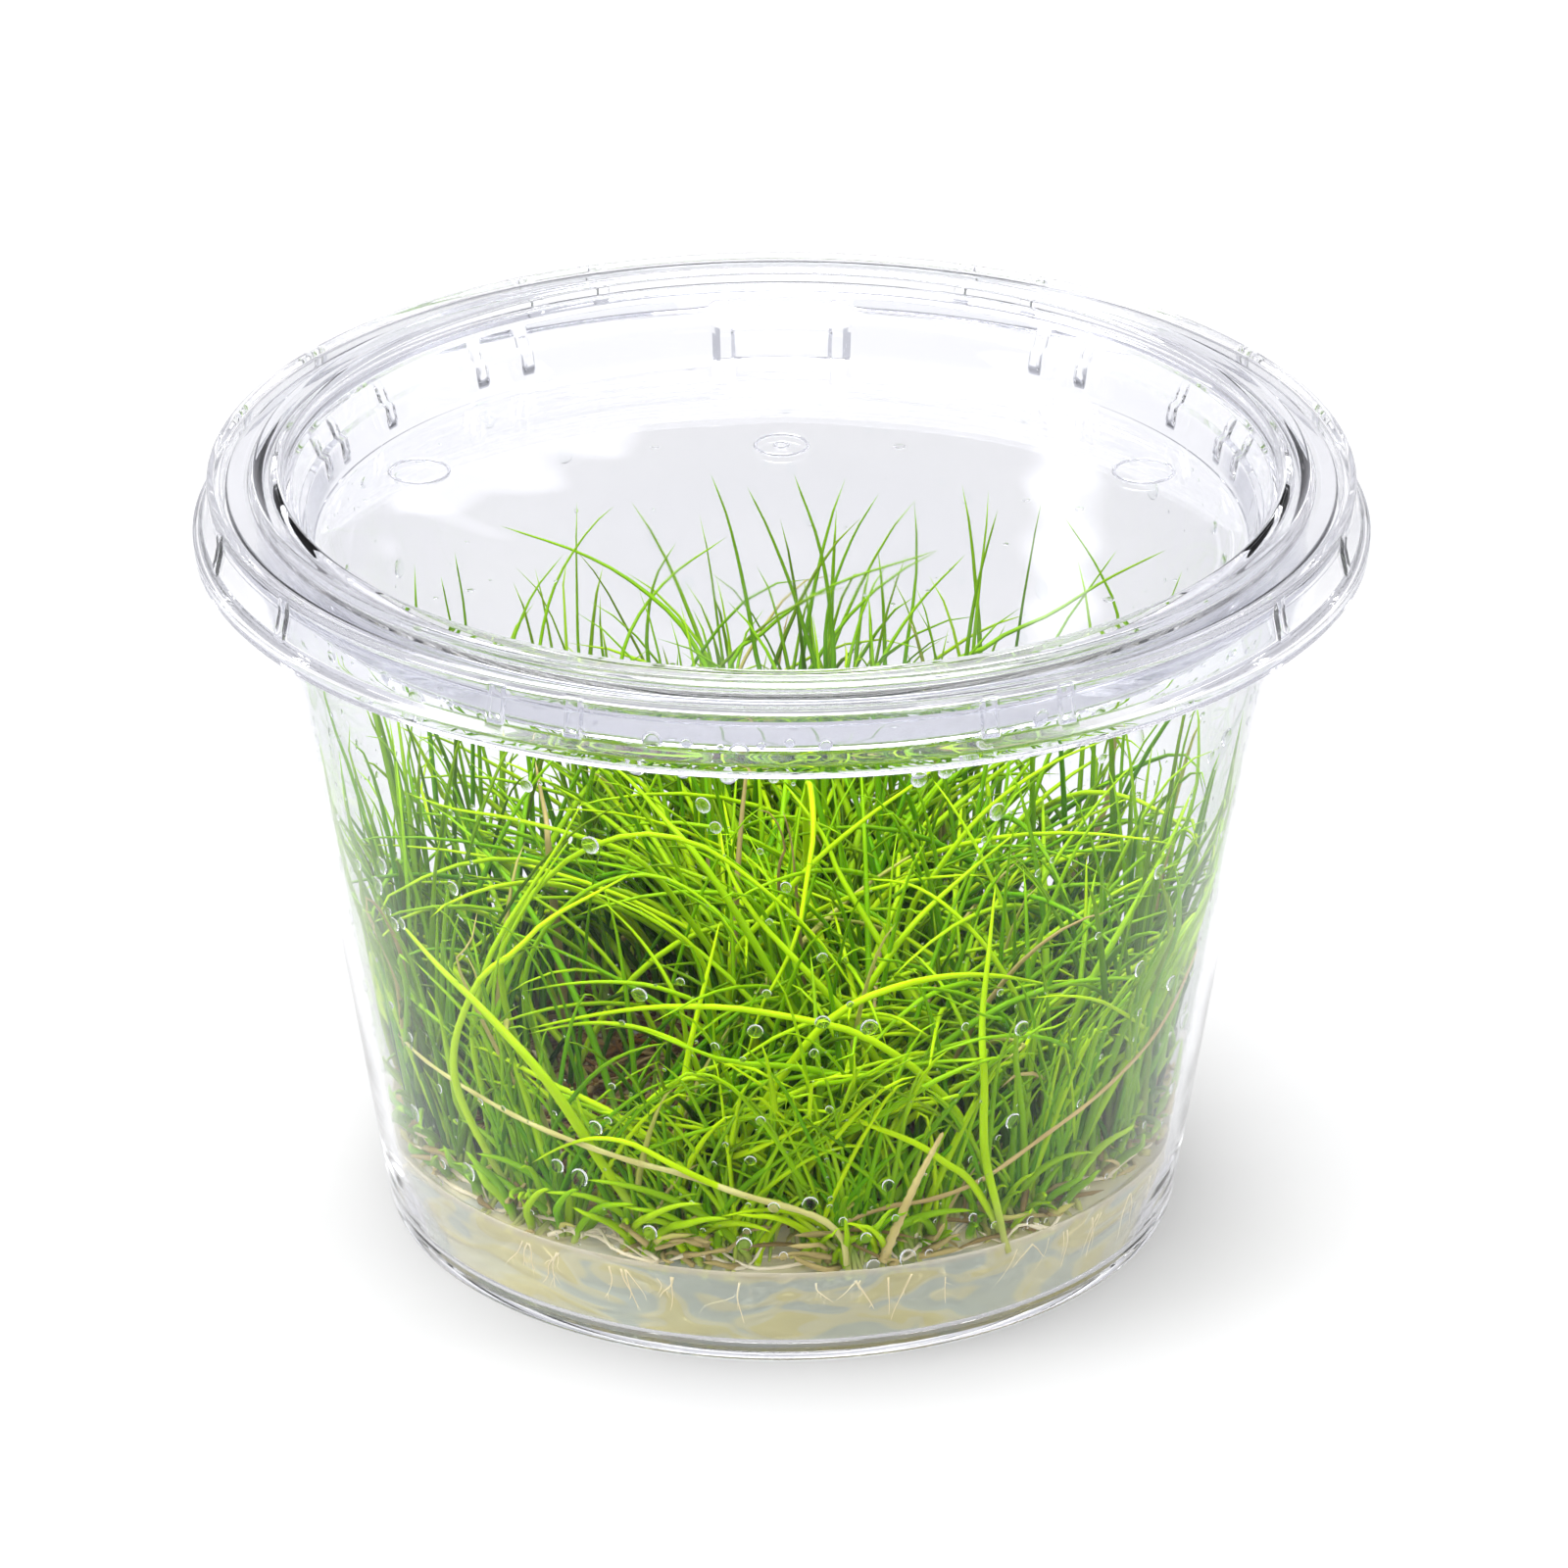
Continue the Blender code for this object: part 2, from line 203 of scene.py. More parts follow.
def leafSkinGroup():
    # Mottling along a leaf and the joints that ring it, from the leaf tone stored on the mesh
    group, given, made = newGroup(
        "Leaf Skin",
        {"Mottle Scale": 300.0, "Joints": 26.0, "Least Roughness": 0.25, "Most Roughness": 0.5},
        {"Mottle": "NodeSocketFloat", "Height": "NodeSocketFloat", "Roughness": "NodeSocketFloat"},
    )
    tone = addNode(group, "ShaderNodeAttribute", attribute_name="leafTone").outputs["Color"]
    along = addNode(group, "ShaderNodeSeparateColor", {"Color": tone}).outputs["Green"]
    mottle = addNoise(group, objectPlace(group), given.outputs["Mottle Scale"], 0.0)
    turns = addMath(group, "MULTIPLY", along, given.outputs["Joints"])
    joint = addMath(group, "POWER", addMath(group, "PINGPONG", turns, 1.0), 6.0)
    height = addMath(group, "MULTIPLY", joint, 0.5)
    least, most = given.outputs["Least Roughness"], given.outputs["Most Roughness"]
    rough = addRange(group, mottle, 0.3, 0.7, least, most)
    group.links.new(mottle, made.inputs["Mottle"])
    group.links.new(height, made.inputs["Height"])
    group.links.new(rough, made.inputs["Roughness"])
    return group


mouldFlow = mouldFlowGroup()
leafSkin = leafSkinGroup()


# Materials

cupLook = {
    "ior": 1.5,
    "tint": (0.96, 0.962, 0.978),
    "cloud": (0.94, 0.943, 0.965),
    "shine": (0.01, 0.01, 0.015),      # share of the mirror image that a face keeps
    "rough": 0.024,
    "waveScale": 45.0,
    "waveHeight": 0.003 * mm,
}
lidLook = {**cupLook, "shine": (0.3, 0.3, 0.36)}
dewLook = {
    "ior": 1.33,
    "tint": (1, 1, 1),
    "cloud": (0.97, 0.985, 0.99),
    "shine": (0.3, 0.3, 0.3),
    "rough": 0.01,
    "waveScale": 300.0,
    "waveHeight": 0.003 * mm,
}


def clearMaterial(name, look):
    # Clear plastic or water
    made, tree, output = newMaterial(name)
    finish = {"Wave Scale": look["waveScale"], "Most Roughness": look["rough"]}
    flow = placeGroup(tree, mouldFlow, finish)
    addShader(tree, output, {
        "Base Color": addMix(tree, flow.outputs["Cloud"], look["tint"], look["cloud"]),
        "Roughness": flow.outputs["Roughness"],
        "Normal": addBump(tree, flow.outputs["Height"], look["waveHeight"]),
        "IOR": look["ior"], "Transmission Weight": 1.0, "Specular Tint": (*look["shine"], 1),
    })
    return made


jellyLook = {
    # cream is painted caustic light: the bright streaks that light bent by the cup throws into the gel
    "cream": (1.0, 0.93, 0.52),
    "pale": (1.0, 0.97, 0.68),
    "blueGrey": (0.78, 0.85, 0.76),
    "pink": (0.94, 0.86, 0.70),
    "pinkFrom": 8.5 * mm,
    "pinkTo": 9.2 * mm,
    "absorbs": (0.95, 0.92, 0.80),
    "density": 1.5,
    "clear": 0.55,
    "shine": (0.4, 0.4, 0.4),
    "ior": 1.34,
    "litter": (0.15, 0.085, 0.02),      # what lies on its top, inside this distance from the axis
    "litterReach": 30.5 * mm,
    "patches": 120.0,
    "squash": (1.0, 1.0, 2.4),
    "waveHeight": 0.8 * mm,
}


def jellyMaterial():
    # Painted caustic light as cream streaks, with blue-grey patches, in a pale gel, pinker at its top
    made, tree, output = newMaterial("jelly")
    place = objectPlace(tree)
    broad = addNoise(tree, stretched(tree, place, jellyLook["squash"]), jellyLook["patches"], 1.0, 1.2)
    # The cream end of this ramp paints caustic light as streaks in the gel
    colour = addRamp(tree, broad, [
        (0.42, jellyLook["blueGrey"]), (0.48, jellyLook["pale"]),
        (0.54, jellyLook["pale"]), (0.58, jellyLook["cream"]),
    ])
    height = addNode(tree, "ShaderNodeSeparateXYZ", {"Vector": place}).outputs["Z"]
    upper = addRange(tree, height, jellyLook["pinkFrom"], jellyLook["pinkTo"], 0.0, 0.8)
    flat = stretched(tree, place, (1, 1, 0))
    away = addNode(tree, "ShaderNodeVectorMath", {0: flat}, operation="LENGTH").outputs["Value"]
    inner = addRange(tree, away, jellyLook["litterReach"], jellyLook["litterReach"] - 3 * mm, 0.0, 1.0)
    topColour = addMix(tree, inner, jellyLook["pink"], jellyLook["litter"])
    colour = addMix(tree, upper, colour, topColour)
    addShader(tree, output, {
        "Base Color": colour, "Roughness": addRange(tree, broad, 0.3, 0.7, 0.02, 0.1),
        "Normal": addBump(tree, broad, jellyLook["waveHeight"]), "IOR": jellyLook["ior"],
        "Transmission Weight": jellyLook["clear"], "Specular Tint": (*jellyLook["shine"], 1),
    })
    inside = addNode(tree, "ShaderNodeVolumeAbsorption", {
        "Color": (*jellyLook["absorbs"], 1), "Density": jellyLook["density"],
    })
    tree.links.new(inside.outputs[0], output.inputs["Volume"])
    return made


leafLook = {
    # deep is a nearly black green, the painted shade that the low lawn leaves mostly take
    "deep": (0.008, 0.075, 0.001),
    "fresh": (0.16, 0.50, 0.001),
    "lime": (0.62, 0.93, 0.004),
    "sheath": (0.70, 0.68, 0.26),
    "straw": (0.62, 0.50, 0.20),
    "brown": (0.15, 0.07, 0.014),
    "shade": (0.55, 0.62, 0.45),
    "glow": 0.17,           # share of light that comes through a leaf
    "shine": 0.07,
    "jointHeight": 0.04 * mm,
}


def leafMaterial():
    made, tree, output = newMaterial("leaf")
    tone = addNode(tree, "ShaderNodeAttribute", attribute_name="leafTone").outputs["Color"]
    parts = addNode(tree, "ShaderNodeSeparateColor", {"Color": tone})
    fresh, along, dry = parts.outputs
    skin = placeGroup(tree, leafSkin, {})
    greens = [(0.0, leafLook["deep"]), (0.5, leafLook["fresh"]), (1.0, leafLook["lime"])]
    colour = addRamp(tree, fresh, greens)
    tipward = addRange(tree, along, 0.55, 1.0, 0.0, 0.35)
    colour = addMix(tree, tipward, colour, leafLook["lime"])
    foot = addRange(tree, along, 0.02, 0.2, 0.85, 0.0)
    colour = addMix(tree, foot, colour, leafLook["sheath"])
    browns = [(0.0, leafLook["lime"]), (0.5, leafLook["straw"]), (1.0, leafLook["brown"])]
    colour = addMix(tree, addRange(tree, dry, 0.0, 0.35, 0.0, 1.0), colour, addRamp(tree, dry, browns))
    shade = addRange(tree, skin.outputs["Mottle"], 0.3, 0.7, 0.0, 0.3)
    colour = addMix(tree, shade, colour, leafLook["shade"], "MULTIPLY")
    shader = addShader(tree, output, {
        "Base Color": colour, "Roughness": skin.outputs["Roughness"],
        "Normal": addBump(tree, skin.outputs["Height"], leafLook["jointHeight"], 0.6),
        "Specular IOR Level": leafLook["shine"],
    })
    through = addNode(tree, "ShaderNodeBsdfTranslucent", {"Color": colour})
    shares = {0: leafLook["glow"], 1: shader.outputs[0], 2: through.outputs[0]}
    mix = addNode(tree, "ShaderNodeMixShader", shares)
    tree.links.new(mix.outputs[0], output.inputs["Surface"])
    return made


strawLook = {
    "old": (0.50, 0.24, 0.06),
    "straw": (0.66, 0.52, 0.20),
    "green": (0.66, 0.70, 0.22),
    "shade": (0.6, 0.5, 0.36),
    "joints": 18.0,
    "rough": 0.65,
    "jointHeight": 0.05 * mm,
}
rootLook = {
    "pale": (0.92, 0.86, 0.62),
    "dark": (0.78, 0.66, 0.38),
    "joints": 9.0,
    "smooth": 0.35,
    "jointHeight": 0.03 * mm,
}


def strawMaterial():
    made, tree, output = newMaterial("straw")
    finish = {"Joints": strawLook["joints"], "Most Roughness": strawLook["rough"]}
    skin = placeGroup(tree, leafSkin, finish)
    tone = addNode(tree, "ShaderNodeAttribute", attribute_name="leafTone").outputs["Color"]
    fresh = addNode(tree, "ShaderNodeSeparateColor", {"Color": tone}).outputs["Red"]
    tones = [(0.0, strawLook["old"]), (0.4, strawLook["straw"]), (1.0, strawLook["green"])]
    shade = addRange(tree, skin.outputs["Mottle"], 0.3, 0.7, 0.0, 0.4)
    addShader(tree, output, {
        "Base Color": addMix(tree, shade, addRamp(tree, fresh, tones), strawLook["shade"], "MULTIPLY"),
        "Roughness": skin.outputs["Roughness"],
        "Normal": addBump(tree, skin.outputs["Height"], strawLook["jointHeight"]),
    })
    return made


def rootMaterial():
    made, tree, output = newMaterial("root")
    finish = {"Joints": rootLook["joints"], "Least Roughness": rootLook["smooth"]}
    skin = placeGroup(tree, leafSkin, finish)
    addShader(tree, output, {
        "Base Color": addMix(tree, skin.outputs["Mottle"], rootLook["pale"], rootLook["dark"]),
        "Roughness": skin.outputs["Roughness"],
        "Normal": addBump(tree, skin.outputs["Height"], rootLook["jointHeight"]),
    })
    return made


def floorMaterial():
    made, tree, output = newMaterial("paperSweep")
    grain = addNoise(tree, objectPlace(tree), 30.0, 2.0)
    colour = addMix(tree, grain, studio["paper"], studio["paperGrain"])
    axes = addNode(tree, "ShaderNodeSeparateXYZ", {"Vector": objectPlace(tree)})
    ahead = addMath(tree, "ADD", axes.outputs["Y"], studio["flareFrom"])
    aside = addMath(tree, "DIVIDE", axes.outputs["X"], ahead)
    # Painted light: the paper glows, and keeps its lighter colour, only on this patch that widens from
    # behind the front; beyond it the paper is darker
    paintedGlowPatch = addPane(tree, aside, studio["glowAside"], axes.outputs["Y"], studio["glowAlong"])
    addShader(tree, output, {
        "Base Color": addMix(tree, paintedGlowPatch, studio["paperDarkBeyondGlow"], colour),
        "Roughness": 0.9, "Specular IOR Level": 0.0,
        "Emission Color": addMix(tree, paintedGlowPatch, (0, 0, 0), (1, 1, 1)),
        "Emission Strength": studio["paperPaintedGlow"],
    })
    return made


# Mesh helpers

def newStore():
    return {"verts": [], "faces": [], "tone": []}


def addToStore(store, verts, faces, tone=None):
    first = len(store["verts"])
    store["verts"].extend(verts)
    store["faces"].extend([first + k for k in face] for face in faces)
    if tone is not None:
        store["tone"].extend(tone)


def makePiece(name, store, materials, replaced=(), faceSlots=None, sharp=None):
    mesh = bpy.data.meshes.new(name)
    mesh.from_pydata([[x * mm, y * mm, z * mm] for x, y, z in store["verts"]], [], store["faces"])
    for material in materials:
        mesh.materials.append(material)
    if faceSlots:
        mesh.polygons.foreach_set("material_index", faceSlots)
    mesh.shade_smooth()
    if sharp:
        mesh.set_sharp_from_angle(angle=math.radians(sharp))
    if store["tone"]:
        tone = mesh.color_attributes.new("leafTone", "FLOAT_COLOR", "POINT")
        tone.data.foreach_set("color", np.array(store["tone"], np.float32).ravel())
    piece = bpy.data.objects.new(name, mesh)
    scene.collection.objects.link(piece)
    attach(piece, "root")
    if replaced:
        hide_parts(*replaced)
    return piece


def letLightThrough(piece):
    # Lamps and bounced light go straight through a clear piece to what it shuts in
    piece.visible_shadow = False
    piece.visible_diffuse = False


def addTube(store, path, radii, sides, tone, flat=1.0):
    # A stem round a path of points, closed at its foot and drawn to a point at its tip
    path = np.asarray(path, float)
    count = len(path)
    along = np.gradient(path, axis=0)
    along /= np.linalg.norm(along, axis=1)[:, None]
    middle = path[count // 2]
    binormal = np.cross(middle - path[0], path[-1] - middle)
    if np.linalg.norm(binormal) < 1e-3:
        binormal = np.cross(path[-1] - path[0], (0.31, 0.9, 0.3))
    binormal = binormal / np.linalg.norm(binormal)
    across = np.cross(binormal, along)
    across /= np.linalg.norm(across, axis=1)[:, None]
    upward = np.cross(along, across)
    turns = np.arange(sides) * 2 * math.pi / sides
    radii = np.asarray(radii, float)[:, None, None]
    rings = (
        path[:-1, None, :]
        + radii[:-1] * np.cos(turns)[None, :, None] * upward[:-1, None, :]
        + radii[:-1] * flat * np.sin(turns)[None, :, None] * across[:-1, None, :]
    )
    verts = [tuple(v) for v in rings.reshape(-1, 3)] + [tuple(path[-1])]
    faces = [list(range(sides))]
    for ring in range(count - 2):
        for side in range(sides):
            a = ring * sides + side
            b = ring * sides + (side + 1) % sides
            faces.append([b, a, a + sides, b + sides])
    last = (count - 2) * sides
    for side in range(sides):
        faces.append([last + (side + 1) % sides, last + side, len(verts) - 1])
    fresh, dry = tone
    tones = [(fresh, ring / (count - 1), dry, 1) for ring in range(count - 1) for _ in range(sides)]
    addToStore(store, verts, faces, tones + [(fresh, 1, dry, 1)])


def smoothRoute(points, count):
    # Even steps along a smooth curve through the points
    points = [Vector(p) for p in points]
    ends = [2 * points[0] - points[1]] + points + [2 * points[-1] - points[-2]]
    spans = len(points) - 1
    read = []
    for k in range(count + 1):
        place = min(k / count * spans, spans - 1e-6)
        first = int(place)
        t = place - first
        a, b, c, d = ends[first : first + 4]
        bend = 2 * b + (c - a) * t + (2 * a - 5 * b + 4 * c - d) * t * t + (3 * b - a - 3 * c + d) * t**3
        read.append(bend / 2)
    return read


def evenSteps(path, count):
    # The same path again with its points equally far apart
    path = np.array([tuple(p) for p in path])
    reach = np.concatenate([[0], np.cumsum(np.linalg.norm(np.diff(path, axis=0), axis=1))])
    wanted = np.linspace(0, reach[-1], count + 1)
    return np.stack([np.interp(wanted, reach, path[:, k]) for k in range(3)], axis=1)


def roundCorners(corners, steps=4):
    # Turns (radius, height, rounding) corners into the points of each rounded bend
    bends = []
    for k, (radius, height, rounding) in enumerate(corners):
        here = Vector((radius, height))
        if not rounding:
            bends.append([here])
            continue
        before = Vector(corners[k - 1][:2]) - here
        after = Vector(corners[k + 1][:2]) - here
        cut = rounding / math.tan(before.angle(after) / 2)
        first = here + before.normalized() * min(cut, 0.48 * before.length)
        last = here + after.normalized() * min(cut, 0.48 * after.length)
        shares = [step / steps for step in range(steps + 1)]
        bends.append([first * (1 - t) ** 2 + here * 2 * t * (1 - t) + last * t * t for t in shares])
    return bends


def splitLong(bends, longest):
    # One list of points, with more on the runs that are longer than this
    points = [point for bend in bends for point in bend]
    made = [points[0]]
    for point in points[1:]:
        start = made[-1]
        parts = max(1, math.ceil((point - start).length / longest))
        made.extend(start.lerp(point, k / parts) for k in range(1, parts + 1))
    return made


def turnProfile(profile, angles, shape=None):
    # A closed turned body. shape may move a point, given its angle and its place in the profile
    store = newStore()
    rings = []
    for index, point in enumerate(profile):
        if point.x < 1e-6:
            rings.append([len(store["verts"])])
            store["verts"].append((0, 0, point.y))
            continue
        first = len(store["verts"])
        for angle in angles:
            radius, height = point.x, point.y
            if shape:
                radius, height = shape(radius, height, angle, index)
            turn = math.radians(angle)
            store["verts"].append((radius * math.sin(turn), -radius * math.cos(turn), height))
        rings.append(list(range(first, len(store["verts"]))))
    count = len(angles)
    for upper, lower in zip(rings, rings[1:]):
        for k in range(count):
            after = (k + 1) % count
            face = [upper[k % len(upper)], lower[k % len(lower)]]
            if len(lower) > 1:
                face.append(lower[after])
            if len(upper) > 1:
                face.append(upper[after])
            store["faces"].append(face)
    return store


def turningAngles(count, places):
    # Even angles, with closer ones at each (angle, half width in degrees)
    angles = {round(360 * k / count, 4) for k in range(count)}
    for place, half in places:
        for share in (-1.25, -1.05, -0.9, -0.7, -0.5, 0.5, 0.7, 0.9, 1.05, 1.25):
            angles.add(round((place + share * half) % 360, 4))
    return sorted(angles)


def angleFrom(angle, place):
    return (angle - place + 180) % 360 - 180


def padShare(across, along):
    # 1 on a pad with soft edges, 0 beside it
    reach = max(abs(across), abs(along))
    share = min(max((1.1 - reach) / 0.3, 0), 1)
    return share * share * (3 - 2 * share)


# The cup

cup = {
    "footRadius": 34.4,
    "wallSlope": 0.157,
    "wall": 1.1,
    "floorHeight": 1.9,
    "footRecess": 0.6,
    "footRing": 5.2,
    "footInset": 1.7,
    "wallTop": 64.6,
    "rimRadius": 47.3,
    "rimTop": 67.0,
    "rimThickness": 1.3,
    "steps": 240,
    "crease": 50,           # degrees between faces that leave an edge crisp
}


def wallRadius(height):
    return cup["footRadius"] + cup["wallSlope"] * height


def innerRadius(height):
    return wallRadius(height) - cup["wall"]


def makeCup():
    floorHeight, top, rim = cup["floorHeight"], cup["wallTop"], cup["rimTop"]
    recess, foot = cup["footRecess"], cup["footRadius"] - cup["footInset"]
    ringIn, under = foot - cup["footRing"], rim - cup["rimThickness"]
    inner = [
        (0, floorHeight, 0), (12, floorHeight, 0), (24, floorHeight, 0),
        (innerRadius(floorHeight), floorHeight, 1.0),
        (innerRadius(top), top, 0.4), (innerRadius(top) + 0.5, rim, 0.5),
    ]
    outer = [
        (cup["rimRadius"], rim, 0.4), (cup["rimRadius"], under, 0.3),
        (wallRadius(top) + 0.2, under, 0.4), (wallRadius(40), 40, 0), (wallRadius(20), 20, 0),
        (wallRadius(0.3) + 0.1, 0.4, 0.9), (foot, 0.0, 0.5),
        (ringIn, 0.0, 0.4), (ringIn - recess, recess, 0.3), (0, recess, 0),
    ]
    bends = roundCorners(inner + outer)
    innerPoints = splitLong(bends[: len(inner)], 6.0)
    outerPoints = splitLong(bends[len(inner) :], 6.0)
    angles = turningAngles(cup["steps"], [])
    store = turnProfile(innerPoints + outerPoints, angles)
    plastic = clearMaterial("cupPlastic", cupLook)
    cupPiece = makePiece("culture_cup", store, [plastic], ["cup"], sharp=cup["crease"])
    letLightThrough(cupPiece)


# The lid

lid = {
    "beadRadius": 50.1,
    "beadBottom": 62.3,
    "rimRadius": 48.8,
    "ledge": 67.9,
    "ringOut": 45.0,
    "ringIn": 42.4,
    "ringTop": 68.7,
    "panelRadius": 39.4,
    "panelHeight": 61.6,
    "thickness": 1.0,
    "panelWaves": 0.014,
    "lugAngles": (20, 28, 57, 74, 106, 123, 152, 160),
    "lugWidth": 1.5,
    "lugLow": 64.3,
    "lugHigh": 67.6,
    "lugDepth": 0.25,
    "clipAngles": (104, 110, 122, 139, 146),
    "clipWidth": 1.2,
    "clipDepth": 0.28,
    "tabWidth": 11.6,
    "tabStepWidth": 8.6,
    "ribWidth": 1.4,
    "tabDepth": 0.9,
    "pips": ((0.0, 19.7, 2.3), (0.0, 19.7, 0.6), (-31.4, 13.9, 2.6), (31.4, 13.9, 2.6)),
    "pipLine": 0.16,
    "steps": 240,
}


def halfTurn(width, radius):
    # Half the angle in degrees that a width takes up at a radius
    return math.degrees(0.5 * width / radius)


def padAndPocket(across, along, pocketShare):
    # A pad with a shallow pocket in it
    return padShare(across, along) - pocketShare * padShare(across / 0.55, along / 0.8)


def lidShape(topCount):
    # The lugs, clips and tab as pads raised on the turned walls
    lugTurn = halfTurn(lid["lugWidth"], lid["rimRadius"])
    names = ("clipWidth", "tabWidth", "tabStepWidth", "ribWidth")
    clipTurn, tabTurn, stepTurn, ribTurn = (halfTurn(lid[name], lid["panelRadius"]) for name in names)
    lugMiddle, lugHalf = (lid["lugHigh"] + lid["lugLow"]) / 2, (lid["lugHigh"] - lid["lugLow"]) / 2
    wellLow = lid["panelHeight"]

    def shape(radius, height, angle, index):
        if index >= topCount:
            return radius, height
        if radius > lid["rimRadius"] - 0.4 and lid["lugLow"] - 0.6 < height < lid["lugHigh"] + 0.6:
            for place in lid["lugAngles"]:
                across = (abs(angleFrom(angle, 0)) - place) / lugTurn
                along = (height - lugMiddle) / lugHalf
                if abs(across) < 1.3:
                    radius += lid["lugDepth"] * padAndPocket(across, along, 0.55)
        if lid["panelRadius"] + 0.3 < radius < lid["ringIn"] + 0.2 and height < lid["ringTop"] - 1.2:
            for place in lid["clipAngles"]:
                across = (abs(angleFrom(angle, 0)) - place) / clipTurn
                along = (height - wellLow - 3.2) / 1.7
                if abs(across) < 1.3:
                    radius -= lid["clipDepth"] * padAndPocket(across, along, 0.5)
            aside = angleFrom(angle, 180)
            ribs = padShare((abs(aside) - tabTurn + ribTurn) / ribTurn, (height - wellLow - 2.0) / 2.3)
            shelf = padShare(aside / tabTurn, (height - wellLow - 3.4) / 0.55)
            step = padShare(aside / stepTurn, (height - wellLow - 0.7) / 1.0)
            radius -= lid["tabDepth"] * (max(ribs, shelf) + 0.8 * step)
        if radius < lid["panelRadius"] - 1:
            turn = math.radians(angle)
            place = Vector((radius * math.sin(turn), -radius * math.cos(turn), 0)) / 16
            fade = min(1, (lid["panelRadius"] - radius) / 8)
            height += lid["panelWaves"] * fade * noise.noise(place)
        return radius, height

    return shape


def makeLid():
    bead, rim, ledge = lid["beadRadius"], lid["rimRadius"], lid["ledge"]
    panel, panelZ = lid["panelRadius"], lid["panelHeight"]
    ringIn, ringOut, ringTop = lid["ringIn"], lid["ringOut"], lid["ringTop"]
    skirt, thick = lid["beadBottom"], lid["thickness"]
    panelRings = [(r, panelZ, 0) for r in (0, 4, 8, 12, 16, 20, 24, 28, 32, 36, 38)]
    top = panelRings + [
        (panel + 0.4, panelZ, 0.5), (panel + 1.0, panelZ + 3.1, 0.3), (panel + 1.6, panelZ + 3.4, 0.3),
        (ringIn - 0.7, ringTop - 2.0, 0.25), (ringIn - 0.2, ringTop - 1.8, 0.25), (ringIn, ringTop, 0.5),
        (ringOut, ringTop, 0.45), (ringOut + 0.2, ledge, 0.3), (rim - 1.1, ledge, 0.2),
        (rim - 0.6, ledge + 0.35, 0.2), (rim, ledge + 0.2, 0.3), (rim, 66.4, 0.3),
        (rim + 0.45, 64.4, 0.3), (bead, 63.6, 0.4), (bead, skirt, 0.4),
    ]
    below = [
        (bead - 1.5, skirt, 0.35), (bead - 1.5, skirt + 1.5, 0.3), (rim - thick, 66.2, 0.3),
        (rim - thick, 67.25, 0.2), (ringIn + thick, 67.25, 0.3), (ringIn + 0.1, 64.4, 0.3),
        (panel + 1.5, panelZ - 0.4, 0.4), (panel + 0.4, panelZ - thick, 0.3),
        (30, panelZ - thick, 0), (15, panelZ - thick, 0), (0, panelZ - thick, 0),
    ]
    bends = roundCorners(top + below)
    flat, walls = bends[: len(panelRings)], bends[len(panelRings) : len(top)]
    topPoints = splitLong(flat, 4.0) + splitLong(walls, 0.45)
    belowPoints = splitLong(bends[len(top) :], 4.0)
    finer = []
    for name, radius in (("lug", rim), ("clip", panel)):
        half = halfTurn(lid[name + "Width"], radius)
        finer += [(side * place, half) for place in lid[name + "Angles"] for side in (-1, 1)]
    for width in (lid["tabWidth"], lid["tabStepWidth"], lid["tabWidth"] - 2 * lid["ribWidth"]):
        finer.append((180, halfTurn(width, panel)))
    angles = turningAngles(lid["steps"], finer)
    store = turnProfile(topPoints + belowPoints, angles, lidShape(len(topPoints)))
    for x, y, radius in lid["pips"]:
        addRidge(store, (x, y, panelZ + 0.02), radius, lid["pipLine"])
    plastic = clearMaterial("lidPlastic", lidLook)
    lidPiece = makePiece("snap_lid", store, [plastic], ["lid"], sharp=cup["crease"])
    letLightThrough(lidPiece)


def addRidge(store, centre, radius, line, steps=36, sides=6):
    # A thin raised ring on the panel, half round, with a flat foot
    verts, faces = [], []
    for k in range(steps):
        turn = 2 * math.pi * k / steps
        for side in range(sides):
            lift = math.pi * side / (sides - 1)
            reach = radius + line * math.cos(lift)
            verts.append((
                centre[0] + reach * math.cos(turn), centre[1] + reach * math.sin(turn),
                centre[2] + line * math.sin(lift),
            ))
        for side in range(sides):
            a, b = k * sides + side, k * sides + (side + 1) % sides
            after = ((k + 1) % steps - k) * sides
            faces.append([a, b, b + after, a + after][::-1])
    addToStore(store, verts, faces)


# Drops of dew on the inside

dew = {
    "seed": 11,
    "wallDrops": 1000,
    "panelDrops": 90,
    "rimDrops": 110,        # along the front
    "smallest": 0.1,
    "largest": 0.8,
    "plump": 0.34,      # height of a drop over its radius
    "rimPlump": 0.6,
    "gap": 0.02,
    "wallReach": 38.0,      # the wall's mean radius, and how far out drops hang under the panel
    "crease": 50,
    "leafDrops": 480,
    "leafSmallest": 0.07,
    "leafLargest": 0.2,
}


